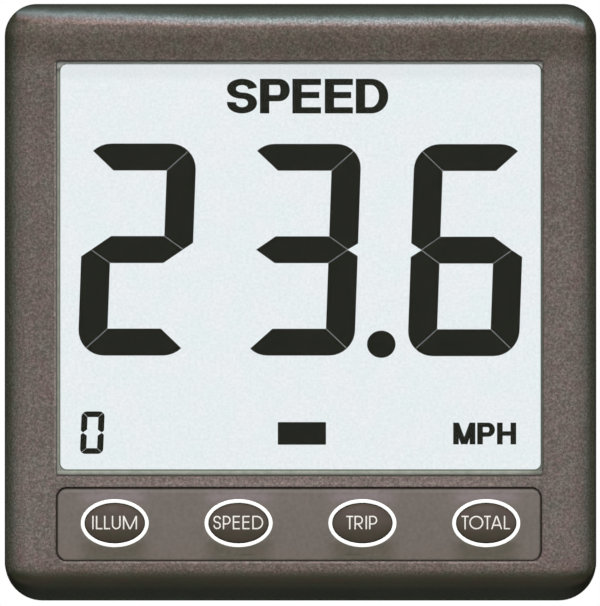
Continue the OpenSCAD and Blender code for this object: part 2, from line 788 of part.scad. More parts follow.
// An oval cap with a domed top, and a flange that keeps it behind the front wall
module key(i) {
    color("#4d443d") in_part_frame() translate([key_x[i], key_y]) {
        intersection() {
            slab(key_flange_z + eps, key_top_z + 1) polygon(oval_points(key_cap_w, key_cap_h));
            translate([0, 0, key_top_z - key_dome_r]) sphere(key_dome_r, $fn = 96);
        }
        slab(key_flange_z, key_flange_top_z)
            polygon(oval_points(key_cap_w + 2 * key_lap, key_cap_h + 2 * key_lap));
        slab(key_stem_z, key_flange_z + eps) circle(plunger_r + 0.6);
    }
}

module key_light() {
    key(0);
}

module key_speed() {
    key(1);
}

module key_trip() {
    key(2);
}

module key_total() {
    key(3);
}

module case_seal() {
    color("#1f1f1e") in_part_frame() slab(cover_top_z, ledge_z) difference() {
        rim_outline(fit_gap);
        cavity_outline(-fit_gap);
        at_each(case_spots) circle(case_screw_r + hole_gap);
    }
}

// A ring on the part's axis, between two radii and two heights
module ring(r_in, r_out, z0, z1) {
    rotate_extrude() translate([r_in, z0]) square([r_out - r_in, z1 - z0]);
}

module rear_cover() {
    color("#3c3a37") in_part_frame() difference() {
        union() {
            slab(cover_z, cover_top_z) rim_outline(fit_gap);
            rotate_extrude() polygon([[0, barrel_end_z], [barrel_r - barrel_edge, barrel_end_z],
                [barrel_r, barrel_end_z + barrel_edge], [barrel_r, cover_top_z], [0, cover_top_z]]);
        }
        slab(barrel_floor_z, cover_top_z + eps) circle(barrel_r - barrel_wall);
        ring(gasket_inner_r - fit_gap, gasket_outer_r + fit_gap, cover_z - 1, 2 * cover_z);
        slab(barrel_end_z - eps, barrel_floor_z + eps) {
            circle(stud_r + run_gap);
            translate([0, -entry_y]) circle(gland_r + run_gap);
            translate([0, entry_y]) circle(socket_neck_r + run_gap);
        }
        at_each(case_spots) {
            slab(cover_z - eps, cover_top_z + eps) circle(case_screw_r + hole_gap);
            slab(cover_z - eps, case_head_z) circle(case_head_r + hole_gap);
        }
    }
}

module case_screws() {
    color("silver") in_part_frame() at_each(case_spots) difference() {
        union() {
            slab(case_head_z - case_head_t, case_head_z) circle(case_head_r);
            slab(case_head_z - eps, case_head_z + case_screw_l) circle(case_screw_r);
        }
        translate([0, 0, case_head_z - case_head_t - eps]) cross_recess(2 * case_screw_r, 1);
    }
}

// The ring that seals the head on the panel: half of it lies in the cover's groove
module panel_gasket() {
    color("#191918") in_part_frame() ring(gasket_inner_r, gasket_outer_r, 0, 2 * cover_z);
}

module mounting_stud() {
    tip = 0.8;
    color("#b9bcbe") in_part_frame() {
        slab(barrel_floor_z, barrel_floor_z + stud_head_t) hexagon(stud_head_flats);
        rotate_extrude() polygon([[0, stud_end_z], [stud_r - tip, stud_end_z], [stud_r, stud_end_z + tip],
            [stud_r, barrel_floor_z + eps], [0, barrel_floor_z + eps]]);
    }
}

module stud_seal() {
    color("#191918") in_part_frame()
        ring(stud_r + run_gap, 2.2 * stud_r, barrel_end_z - stud_seal_t, barrel_end_z);
}

module stud_nut() {
    color("#b9bcbe") in_part_frame() slab(stud_nut_z - stud_nut_t, stud_nut_z) difference() {
        hexagon(stud_head_flats);
        circle(stud_r + run_gap);
    }
}

// A strip bent into a U, whose two legs press on the panel's rear face
module clamp_bracket() {
    outer_x = bracket_leg_x + bracket_t;
    outer_r = bracket_bend_r + bracket_t;
    color("#c3c6c8") in_part_frame() difference() {
        rotate([90, 0, 0]) translate([0, 0, -bracket_w / 2]) linear_extrude(bracket_w) difference() {
            translate([0, washer_z + outer_x]) rounded_outline(2 * outer_x, 2 * outer_x, outer_r);
            translate([0, bridge_z + bracket_leg_x])
                rounded_outline(2 * bracket_leg_x, 2 * bracket_leg_x, bracket_bend_r);
            translate([-2 * outer_x, -panel_t]) square(4 * outer_x);
        }
        slab(washer_z - eps, bridge_z + eps) circle(stud_r + hole_gap);
    }
}

module clamp_washer() {
    color("#c3c6c8") in_part_frame() ring(stud_r + run_gap, washer_r, nut_z, washer_z);
}

module thumb_nut() {
    bevel = 0.8;
    rib_points = [for (i = [0 : nut_ribs - 1], s = [0 : 3])
        let (a = 360 * (i + s / 4) / nut_ribs, r = s < 2 ? nut_r : nut_r - nut_rib_depth)
        [r * cos(a), r * sin(a)]];
    color("#b58a3c") in_part_frame() difference() {
        intersection() {
            slab(nut_z - nut_h, nut_z) polygon(rib_points);
            rotate_extrude() polygon([[0, nut_z - nut_h], [nut_r - bevel, nut_z - nut_h],
                [nut_r, nut_z - nut_h + bevel], [nut_r, nut_z - bevel], [nut_r - bevel, nut_z], [0, nut_z]]);
        }
        slab(nut_z - nut_h - eps, nut_z + eps) circle(stud_r + run_gap);
    }
}

module gland_body() {
    color("#2c2c2d") in_part_frame() translate([0, -entry_y]) difference() {
        union() {
            slab(gland_face_z, barrel_end_z) hexagon(gland_flats);
            slab(barrel_end_z - eps, barrel_floor_z + entry_nut_t + 1) circle(gland_r);
        }
        slab(gland_face_z - eps, barrel_floor_z + entry_nut_t + 1 + eps) circle(gland_bore_r);
    }
}

module gland_nut() {
    color("#2c2c2d") in_part_frame() translate([0, -entry_y])
        slab(barrel_floor_z, barrel_floor_z + entry_nut_t) difference() {
            hexagon(gland_flats);
            circle(gland_r + run_gap);
        }
}

module gland_seal() {
    color("#161616") in_part_frame() translate([0, -entry_y])
        ring(cable_r, gland_r - 0.8, gland_end_z, gland_face_z);
}

module gland_cap() {
    cap_r = gland_flats / 2 - 0.3;
    lip = 1.5;
    color("#2c2c2d") in_part_frame() translate([0, -entry_y]) difference() {
        rotate_extrude() polygon([[0, gland_end_z - lip], [cap_r - 2.2, gland_end_z - lip],
            [cap_r, gland_end_z + 2], [cap_r, gland_face_z], [0, gland_face_z]]);
        slab(gland_end_z, gland_face_z + eps) circle(gland_r - 0.8 + run_gap);
        slab(gland_end_z - lip - eps, gland_end_z + eps) circle(gland_bore_r);
    }
}

module socket_shell() {
    color("#8f9294") in_part_frame() translate([0, entry_y]) difference() {
        union() {
            slab(barrel_end_z - socket_flange_t, barrel_end_z) circle(socket_r + 2);
            slab(socket_mouth_z, barrel_end_z - socket_flange_t + eps) circle(socket_r);
            slab(barrel_end_z - eps, barrel_floor_z + socket_tail) circle(socket_neck_r);
        }
        slab(socket_mouth_z - eps, insert_z) circle(plug_r);
        slab(insert_z - eps, barrel_floor_z + socket_tail + eps) circle(insert_r + run_gap);
    }
}

module socket_nut() {
    color("#8f9294") in_part_frame() translate([0, entry_y])
        slab(barrel_floor_z, barrel_floor_z + entry_nut_t) difference() {
            hexagon(2 * socket_neck_r + 4);
            circle(socket_neck_r + run_gap);
        }
}

module socket_insert() {
    color("#1b1b1b") in_part_frame() translate([0, entry_y])
        slab(insert_z, barrel_floor_z + socket_tail) difference() {
            circle(insert_r);
            at_each(contact_spots) circle(contact_r);
        }
}

module socket_contacts() {
    color("#c9a24b") in_part_frame() translate([0, entry_y]) at_each(contact_spots) difference() {
        slab(insert_z, barrel_floor_z + socket_tail + contact_out) circle(contact_r);
        slab(insert_z - eps, insert_z + 0.8 * plug_depth) circle(contact_bore_r);
    }
}

front_housing();
window_lens();
lens_seal();
display_frame();
front_polariser();
front_glass();
display_segments();
cell_seal();
rear_glass();
rear_polariser();
diffuser();
light_guide();
backlight_leds();
contact_strips();
circuit_board();
board_screws();
microcontroller();
crystal();
capacitors();
voltage_regulator();
power_header();
sensor_header();
switch_bodies();
plunger_light();
plunger_speed();
plunger_trip();
plunger_total();
keypad_mat();
key_rings();
key_light();
key_speed();
key_trip();
key_total();
case_seal();
rear_cover();
case_screws();
panel_gasket();
mounting_stud();
stud_seal();
stud_nut();
clamp_bracket();
clamp_washer();
thumb_nut();
gland_body();
gland_nut();
gland_seal();
gland_cap();
socket_shell();
socket_nut();
socket_insert();
socket_contacts();
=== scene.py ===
import json
import math

import bmesh
import bpy
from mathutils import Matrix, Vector
from mathutils.geometry import delaunay_2d_cdt

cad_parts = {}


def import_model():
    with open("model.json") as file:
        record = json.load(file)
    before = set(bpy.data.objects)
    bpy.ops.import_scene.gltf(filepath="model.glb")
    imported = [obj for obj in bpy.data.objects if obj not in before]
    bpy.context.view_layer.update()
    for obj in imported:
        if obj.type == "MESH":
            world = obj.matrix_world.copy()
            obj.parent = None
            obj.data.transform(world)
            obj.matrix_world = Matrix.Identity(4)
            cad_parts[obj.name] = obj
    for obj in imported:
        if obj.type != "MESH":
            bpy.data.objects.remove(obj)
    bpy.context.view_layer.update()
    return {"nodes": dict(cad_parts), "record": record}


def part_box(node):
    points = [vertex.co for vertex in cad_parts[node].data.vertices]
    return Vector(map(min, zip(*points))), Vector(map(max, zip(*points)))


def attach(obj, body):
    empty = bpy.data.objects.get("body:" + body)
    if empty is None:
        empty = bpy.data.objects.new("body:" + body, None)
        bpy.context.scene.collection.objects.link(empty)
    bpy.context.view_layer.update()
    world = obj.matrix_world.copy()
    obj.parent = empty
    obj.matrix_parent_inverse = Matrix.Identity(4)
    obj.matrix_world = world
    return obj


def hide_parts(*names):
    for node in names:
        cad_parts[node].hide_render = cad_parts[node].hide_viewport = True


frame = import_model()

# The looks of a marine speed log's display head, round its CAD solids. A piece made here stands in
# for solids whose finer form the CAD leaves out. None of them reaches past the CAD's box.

NODES = frame["nodes"]
KEYS = ("light", "speed", "trip", "total")

# Sizes, in millimetres in the face's own axes: x to the right, y up and z out of the front

BODY_W, BODY_H = 110.0, 111.0
FRONT_Z, BACK_Z, INSIDE_Z, LEDGE_Z = 22.0, 0.8, 20.0, 4.6
CORNER_TOP, CORNER_BOTTOM = 6.0, 7.0
EDGE_SIDE, EDGE_TOP, EDGE_BOTTOM = 4.4, 4.3, 6.0
EDGE_DEPTH, EDGE_BOTTOM_DEPTH, EDGE_BOTTOM_FILL = 5.0, 10.0, 1.4
CAVITY_W, CAVITY_H, CAVITY_CORNER = 102.0, 103.0, 1.5
REBATE_W, REBATE_H, REBATE_WALL = 105.6, 106.6, 2.2
SILL_Y, SILL_Z = -47.84, 16.0
OPENING_FILLET = 0.35
WINDOW_W, WINDOW_H, WINDOW_X, WINDOW_Y, WINDOW_CORNER = 90.43, 77.05, -0.175, 6.33, 0.35
VIEW_W, VIEW_H, VIEW_Y, VIEW_CORNER = 89.3, 75.3, 6.6, 1.2
FLANGE_W, FLANGE_H, FLANGE_Y, FLANGE_TOP = 92.5, 78.8, 6.5, 19.6
PANE_GAP, PANE_CORNER = 0.04, 0.3
LENS_LOW, LENS_TOP, CELL_LOW, CELL_TOP = 17.6, 21.7, 15.1, 16.4
FILM_THICK = 0.15
INK_LOW, INK_TOP = 15.0, 15.1
PAD_W, PAD_H, PAD_X, PAD_Y, PAD_CORNER, PAD_FLOOR = 90.09, 13.6, -0.29, -41.205, 1.8, 21.0
MAT_Z, MAT_GAP, MAT_FILLET, MAT_GRID = 21.6, 0.15, 0.18, 0.5
KEY_PITCH, KEY_Y, KEY_LOW = 23.0, -41.0, 18.6
KEY_X = [KEY_PITCH * (i - 1.5) for i in range(len(KEYS))]
KEY_HOLE_W, KEY_HOLE_H = 11.5, 7.8
RING_W, RING_H, RING_LINE, RING_RISE, RING_SINK = 11.2, 7.5, 0.74, 0.065, 0.015
SWELL, SWELL_REACH = 0.24, 2.2
KEY_GAP, KEY_CROWN, KEY_FALL, KEY_SHOULDER = 0.12, 0.67, 0.42, 0.18
KEY_FLANGE, KEY_FLANGE_TOP, KEY_FLANGE_LOW, KEY_STEM = 2.4, 19.9, 19.1, 4.6
ENTRY_Y = 24.0

# Points


def place(x, y, z):
    """A point of the face's axes in the part's frame, in metres."""
    return Vector((x, -z, y)) / 1000


QUARTERS = ((1, 1), (-1, 1), (-1, -1), (1, -1))


def plate_loop(w, h, r_top, r_bottom=None, steps=10, y0=0.0, x0=0.0):
    """A rectangle's outline with round corners, counter-clockwise from the top right one."""
    points = []
    for quarter, (sx, sy) in enumerate(QUARTERS):
        r = r_top if sy > 0 or r_bottom is None else r_bottom
        for i in range(steps + 1):
            a = math.radians(90 * (quarter + i / steps))
            points.append((x0 + sx * (w / 2 - r) + r * math.cos(a), y0 + sy * (h / 2 - r) + r * math.sin(a)))
    return points


def oval_loop(w, h, x0=0.0, y0=0.0, steps=96):
    turn = [2 * math.pi * i / steps for i in range(steps)]
    return [(x0 + w / 2 * math.cos(a), y0 + h / 2 * math.sin(a)) for a in turn]


def quarter_round(r, steps):
    """A rounded edge, as pairs of distance in from the wall and depth below the top."""
    turn = [math.pi / 2 * i / steps for i in range(steps + 1)]
    return [(r * (1 - math.sin(a)), r * (1 - math.cos(a))) for a in turn]


def inside(p, loop):
    """Whether a flat point lies within a closed outline."""
    x, y = p
    found = False
    for (x0, y0), (x1, y1) in zip(loop, loop[1:] + loop[:1]):
        if (y0 > y) != (y1 > y) and x < (x1 - x0) * (y - y0) / (y1 - y0) + x0:
            found = not found
    return found


def flat_mesh(solids, holes=(), extra=()):
    """Triangles over the union of some outlines, less their holes, with extra points inside."""
    points, edges = [], []
    for loop in [*solids, *holes]:
        first = len(points)
        points += [Vector(p) for p in loop]
        edges += [(first + i, first + (i + 1) % len(loop)) for i in range(len(loop))]
    points += [Vector(p) for p in extra]
    verts, _, faces, *_ = delaunay_2d_cdt(points, edges, [], 0, 1e-5)
    kept = []
    for f in faces:
        middle = sum((verts[i] for i in f), Vector((0, 0))) / len(f)
        if any(inside(middle, s) for s in solids) and not any(inside(middle, h) for h in holes):
            kept.append(tuple(f))
    return [tuple(v) for v in verts], kept


# Meshes


class Builder:
    """Collects points and faces in the face's axes, in millimetres, and makes an object of them."""

    def __init__(self):
        self.points = []
        self.faces = []

    def add(self, flat, z):
        """Adds flat points at a height, or at a height for each point, and gives the first one's number."""
        first = len(self.points)
        self.points += [(x, y, z(x, y) if callable(z) else z) for x, y in flat]
        return first

    def ring(self, loop, z):
        first = self.add(loop, z)
        return list(range(first, len(self.points)))

    def stack(self, rings):
        """Walls from each ring to the next."""
        for a, b in zip(rings, rings[1:]):
            for i in range(len(a)):
                j = (i + 1) % len(a)
                self.faces.append((a[i], a[j], b[j], b[i]))

    def wall(self, loop, z0, z1):
        self.stack([self.ring(loop, z0), self.ring(loop, z1)])

    def flat(self, solids, z, holes=(), extra=()):
        verts, faces = flat_mesh(solids, holes, extra)
        first = self.add(verts, z)
        self.faces += [tuple(first + i for i in f) for f in faces]

    def prism(self, solids, z0, z1):
        """Flat outlines with thickness, closed all round."""
        verts, faces = flat_mesh(solids)
        count = {}
        for f in faces:
            for a, b in zip(f, f[1:] + f[:1]):
                key = (min(a, b), max(a, b))
                count[key] = count.get(key, 0) + 1
        low, high = self.add(verts, z0), self.add(verts, z1)
        self.faces += [tuple(low + i for i in reversed(f)) for f in faces]
        self.faces += [tuple(high + i for i in f) for f in faces]
        rim = [edge for edge, n in count.items() if n == 1]
        self.faces += [(low + a, low + b, high + b, high + a) for a, b in rim]

    def turned(self, profile, y0, steps, radius):
        """Turns a closed outline of (radius, height) points round an axis. radius() varies it by angle."""
        n = len(profile)
        first = len(self.points)
        for k in range(steps):
            a = 2 * math.pi * k / steps
            for r, z in profile:
                r = radius(r, z, a)
                self.points.append((r * math.cos(a), y0 + r * math.sin(a), z))
        for k in range(steps):
            here, there = first + k * n, first + (k + 1) % steps * n
            for i in range(n):
                j = (i + 1) % n
                self.faces.append((here + i, here + j, there + j, there + i))

    def make(self, name, body, slot, replaces=(), smooth=30, material=None):
        """The object, which rides a body. Faces blend where they meet at less than smooth degrees."""
        mesh = bpy.data.meshes.new(name)
        mesh.from_pydata([place(*p) for p in self.points], [], self.faces)
        b = bmesh.new()
        b.from_mesh(mesh)
        bmesh.ops.remove_doubles(b, verts=b.verts, dist=2e-7)
        bmesh.ops.dissolve_degenerate(b, edges=b.edges, dist=1e-8)
        bmesh.ops.recalc_face_normals(b, faces=b.faces)
        b.to_mesh(mesh)
        b.free()
        mesh.shade_smooth()
        mesh.set_sharp_from_angle(angle=math.radians(smooth))
        piece = bpy.data.objects.new(name, mesh)
        bpy.context.scene.collection.objects.link(piece)
        piece.data.materials.append(M[material or slot])
        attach(piece, body)
        if replaces:
            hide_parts(*replaces)


# Materials


class Shader:
    """A node material that is built up from the coordinates of the part's frame, in metres."""

    def __init__(self, name, color, roughness, metallic=0.0, **sockets):
        self.material = bpy.data.materials.new(name)
        self.material.use_nodes = True
        self.tree = self.material.node_tree
        self.shader = next(n for n in self.tree.nodes if n.type == "BSDF_PRINCIPLED")
        self.set("Base Color", (*color, 1))
        self.set("Roughness", roughness)
        self.set("Metallic", metallic)
        for key, value in sockets.items():
            self.set(key.replace("_", " "), value)
        self.coordinates = self.node("ShaderNodeTexCoord").outputs["Object"]
        self.normal = None

    def set(self, socket, value):
        self.shader.inputs[socket].default_value = value

    def node(self, kind, **settings):
        n = self.tree.nodes.new(kind)
        for key, value in settings.items():
            setattr(n, key, value)
        return n

    def link(self, a, b):
        self.tree.links.new(a, b)

    def stretched(self, scale):
        n = self.node("ShaderNodeMapping")
        n.inputs["Scale"].default_value = scale
        self.link(self.coordinates, n.inputs["Vector"])
        return n.outputs["Vector"]

    def noise(self, size, detail=3.0, roughness=0.55, stretch=None):
        """Noise whose spots are about size metres wide."""
        n = self.node("ShaderNodeTexNoise")
        n.inputs["Scale"].default_value = 1 / size
        n.inputs["Detail"].default_value = detail
        n.inputs["Roughness"].default_value = roughness
        self.link(self.stretched(stretch) if stretch else self.coordinates, n.inputs["Vector"])
        return n.outputs["Fac"]

    def grains(self, size):
        n = self.node("ShaderNodeTexVoronoi", feature="SMOOTH_F1")
        n.inputs["Scale"].default_value = 1 / size
        self.link(self.coordinates, n.inputs["Vector"])
        return n.outputs["Distance"]

    def along(self, axis):
        n = self.node("ShaderNodeSeparateXYZ")
        self.link(self.coordinates, n.inputs["Vector"])
        return n.outputs[axis]

    def ramp(self, value, stops):
        n = self.node("ShaderNodeValToRGB")
        ramp = n.color_ramp
        while len(ramp.elements) < len(stops):
            ramp.elements.new(0.5)
        for e, (at, color) in zip(ramp.elements, stops):
            e.position = at
            e.color = (*color, 1)
        self.link(value, n.inputs["Fac"])
        return n.outputs["Color"]

    def mottle(self, size, detail, low, high, ends=(0.3, 0.7), roughness=0.55):
        """Two colours in soft spots about size metres wide."""
        return self.ramp(self.noise(size, detail, roughness), [(ends[0], low), (ends[1], high)])

    def span(self, value, a, b, low=0.0, high=1.0, easing="SMOOTHSTEP"):
        n = self.node("ShaderNodeMapRange")
        n.interpolation_type = easing
        for key, v in (("From Min", a), ("From Max", b), ("To Min", low), ("To Max", high)):
            n.inputs[key].default_value = v
        self.link(value, n.inputs["Value"])
        return n.outputs["Result"]

    def reach(self, value, a, b, low=0.0, high=1.0, easing="SMOOTHSTEP"):
        """span() of a length, from a to b in millimetres."""
        return self.span(value, a / 1000, b / 1000, low, high, easing)

    def math(self, operation, *values):
        n = self.node("ShaderNodeMath", operation=operation)
        for socket, value in zip(n.inputs, values):
            if isinstance(value, (int, float)):
                socket.default_value = value
            else:
                self.link(value, socket)
        return n.outputs[0]

    def times(self, a, b):
        return self.math("MULTIPLY", a, b)

    def distance(self, value, middle=0.0):
        """How far a length is from a middle in millimetres, to either side."""
        if middle:
            value = self.math("SUBTRACT", value, middle / 1000)
        return self.math("ABSOLUTE", value)

    def band(self, value, rise, fall):
        """1 within a band of a length and 0 outside, with a soft rise and fall in millimetres."""
        return self.times(self.reach(value, *rise), self.reach(value, *fall[::-1]))

    def tones(self, value, stops):
        """Colours at places along a length, which are in millimetres of the part's frame."""
        a, b = stops[0][0], stops[-1][0]
        places = [((at - a) / (b - a), c) for at, c in stops]
        return self.ramp(self.reach(value, a, b, easing="LINEAR"), places)

    def corner_distance(self, middle, half, r):
        """Distance from the box that a rounded outline runs round at radius r, in millimetres of the face."""
        total = 0.0
        for axis, m, h in zip("XZ", middle, half):
            over = self.math("SUBTRACT", self.distance(self.along(axis), m), (h - r) / 1000)
            over = self.math("MAXIMUM", over, 0.0)
            total = self.math("MULTIPLY_ADD", over, over, total)
        return self.math("SQRT", total)

    def thread_shade(self, c, pitch, up, dark):
        """Paints shade along the groove of a thread round the axis at height up, in millimetres."""
        turn = self.math("ARCTAN2", self.math("SUBTRACT", self.along("Z"), up / 1000), self.along("X"))
        phase = self.math("MULTIPLY_ADD", self.along("Y"), -1000 / pitch, self.times(turn, 1 / (2 * math.pi)))
        from_middle = self.math("ABSOLUTE", self.math("SUBTRACT", self.math("FRACT", phase), 0.5))
        return self.mix(self.times(self.span(from_middle, 0.38, 0.08), 0.75), c, dark)

    def groove_shade(self, c):
        """Paints shade along the groove round the keypad, most at the top and the sides."""
        inset, r = MAT_GAP / 2, PAD_CORNER + 0.1
        far = self.corner_distance((PAD_X, PAD_Y), (PAD_W / 2 - inset, PAD_H / 2 - inset), r)
        line = self.reach(self.distance(far, r), 0.30, 0.12)
        side = self.reach(self.distance(self.along("X")), 44.0, 44.4)
        strong = self.math("MAXIMUM", self.reach(self.along("Z"), -35.2, -34.7), side)
        weight = self.math("MULTIPLY_ADD", strong, 0.45, 0.40)
        return self.mix(self.times(line, weight), c, (0.022, 0.017, 0.012))

    def mix(self, factor, a, b, blend="MIX"):
        n = self.node("ShaderNodeMix", data_type="RGBA", blend_type=blend)
        for socket, value in ((n.inputs[0], factor), (n.inputs[6], a), (n.inputs[7], b)):
            if isinstance(value, (int, float)):
                socket.default_value = value
            elif isinstance(value, tuple):
                socket.default_value = (*value, 1)
            else:
                self.link(value, socket)
        return n.outputs[2]

    def tint(self, a, b):
        """One colour multiplied by another."""
        return self.mix(1.0, a, b, "MULTIPLY")

    def paint(self, color):
        self.link(color, self.shader.inputs["Base Color"])

    def rough(self, value, low, high):
        self.link(self.span(value, 0.25, 0.75, low, high), self.shader.inputs["Roughness"])

    def bump(self, value, depth, strength=1.0):
        """Relief of a given depth in metres."""
        n = self.node("ShaderNodeBump")
        n.inputs["Strength"].default_value = strength
        n.inputs["Distance"].default_value = depth
        self.link(value, n.inputs["Height"])
        if self.normal:
            self.link(self.normal, n.inputs["Normal"])
        self.normal = n.outputs["Normal"]
        self.link(self.normal, self.shader.inputs["Normal"])


def grey(v):
    return (v, v, v)


def shade(color, k):
    return tuple(c * k for c in color)


# Each list of tones has places in millimetres and what the colour there is multiplied by.
# Painted shade: the housing's colour goes from brown to green-black over its rounded front edge.
DEPTH_TONES = (
    (-22.0, grey(1.0)),
    (-21.8, (1.00, 0.985, 0.985)),
    (-21.34, (0.91, 0.98, 0.95)),
    (-21.07, (0.80, 0.93, 0.87)),
    (-20.73, (0.66, 0.77, 0.70)),
    (-20.3, (0.59, 0.71, 0.59)),
    (-19.75, (0.585, 0.73, 0.57)),
    (-19.0, (0.70, 0.85, 0.74)),
    (-17.5, (0.50, 0.60, 0.52)),
)
# Painted light and shade down the face: its long bottom edge is painted dark, with lighter lines at -51.7 and
# -49.8, the face is a little lighter low down, and the bar above the window is in painted shade.
FACE_TONES = (
    (-55.5, (1.13, 1.26, 1.18)),
    (-55.0, (1.11, 1.22, 1.16)),
    (-54.6, (0.98, 1.05, 1.07)),
    (-53.6, (0.86, 0.89, 0.92)),
    (-53.2, (0.74, 0.76, 0.76)),
    (-52.8, (0.69, 0.70, 0.65)),
    (-52.4, (0.70, 0.67, 0.64)),
    (-51.7, (0.92, 0.81, 0.79)),
    (-50.95, (0.75, 0.72, 0.58)),
    (-50.6, (0.73, 0.77, 0.65)),
    (-50.2, (0.88, 0.90, 0.82)),
    (-49.83, (1.14, 1.12, 1.05)),
    (-49.4, (1.07, 1.01, 0.98)),
    (-48.7, (1.03, 0.98, 0.985)),
    (-44.0, grey(1.06)),
    (34.0, grey(0.97)),
    (43.5, (0.92, 0.92, 0.90)),
    (46.5, (0.70, 0.70, 0.65)),
    (49.4, (0.70, 0.70, 0.64)),
    (50.6, (0.92, 0.90, 0.86)),
)
# Painted shade: the housing darkens slightly towards its right edge.
RIGHT_TONES = ((46.0, grey(1.0)), (50.0, grey(0.975)), (54.0, grey(0.93)), (55.0, grey(0.92)))
# Painted light and shade on the bar between window and keypad: it is lightest next to the keypad and in
# painted shade just under the window.
STRIP_COLOR = (0.172, 0.137, 0.126)
STRIP_TONES = (
    (-34.1, (1.28, 1.29, 1.30)),
    (-33.66, (1.25, 1.27, 1.29)),
    (-33.47, (1.12, 1.12, 1.13)),
    (-33.1, (0.93, 0.93, 0.94)),
    (-32.55, (0.84, 0.83, 0.82)),
    (-32.36, (0.70, 0.74, 0.68)),
    (-32.1, (0.68, 0.73, 0.66)),
)
# Painted light and shade over the top edge, from reddish through a pale grey painted highlight to green-black
# painted shade.
TOP_COLORS = (
    (50.5, (0.120, 0.095, 0.083)),
    (50.95, (0.131, 0.099, 0.085)),
    (51.2, (0.151, 0.112, 0.101)),
    (51.47, (0.192, 0.151, 0.143)),
    (51.85, (0.202, 0.184, 0.183)),
    (52.4, (0.228, 0.252, 0.253)),
    (52.58, (0.216, 0.248, 0.247)),
    (52.95, (0.140, 0.173, 0.167)),
    (53.4, (0.086, 0.100, 0.088)),
    (53.9, (0.067, 0.075, 0.062)),
    (55.5, (0.055, 0.060, 0.046)),
)
# Colours of the display's frame across, with painted shade towards the right, and its painted light and shade
# up the lower strip.
FRAME_COLORS = (
    (-45.5, (0.255, 0.255, 0.222)),
    (-44.8, (0.265, 0.270, 0.235)),
    (-44.0, (0.285, 0.298, 0.262)),
    (40.0, (0.285, 0.298, 0.262)),
    (44.6, (0.18, 0.182, 0.158)),
    (45.5, (0.125, 0.125, 0.105)),
)
FRAME_TONES = (
    (-32.3, (0.84, 0.84, 0.80)),
    (-31.9, (0.86, 0.86, 0.82)),
    (-31.7, (0.97, 0.97, 0.95)),
    (-31.5, (1.45, 1.45, 1.42)),
    (-31.3, grey(1.0)),
)
# Painted light and shade on a key: lightest in its upper half, darker below.
KEY_TONES = (
    (-45.0, (0.77, 0.85, 0.77)),
    (-44.0, (0.80, 0.88, 0.80)),
    (-42.8, (0.89, 0.96, 0.87)),
    (-41.8, (1.09, 1.12, 1.15)),
    (-41.0, (1.24, 1.30, 1.31)),
    (-40.3, (1.25, 1.31, 1.34)),
    (-39.2, (1.17, 1.12, 1.22)),
    (-38.0, (1.21, 1.18, 1.12)),
)
# The mat has a painted highlight along its top edge.
MAT_TONES = (
    (-48.0, (1.0, 1.0, 0.97)),
    (-46.5, (1.03, 0.98, 0.97)),
    (-44.0, grey(1.0)),
    (-36.2, (1.05, 1.03, 1.04)),
    (-35.5, grey(1.02)),
    (-35.15, (1.27, 1.28, 1.29)),
    (-34.75, (1.27, 1.28, 1.29)),
)


def top_highlight_and_shade(s, c, x, z):
    """Lays the painted highlight and painted shade of the top edge over a colour. Their border waves, and
    falls towards both ends.
    """
    wave = s.span(s.noise(0.0022, 3), 0.3, 0.7, -0.00013, 0.00013)
    left = s.reach(x, -54.0, -18.0, -0.0014, 0.0, "LINEAR")
    right = s.reach(x, 48.5, 53.5, 0.0, 0.0009)
    high = s.math("ADD", s.math("ADD", s.math("ADD", z, wave), left), right)
    top_light_mask = s.times(s.reach(high, 50.4, 51.0), s.reach(s.distance(x), 53.1, 52.4))
    return s.mix(top_light_mask, c, s.tones(high, TOP_COLORS))


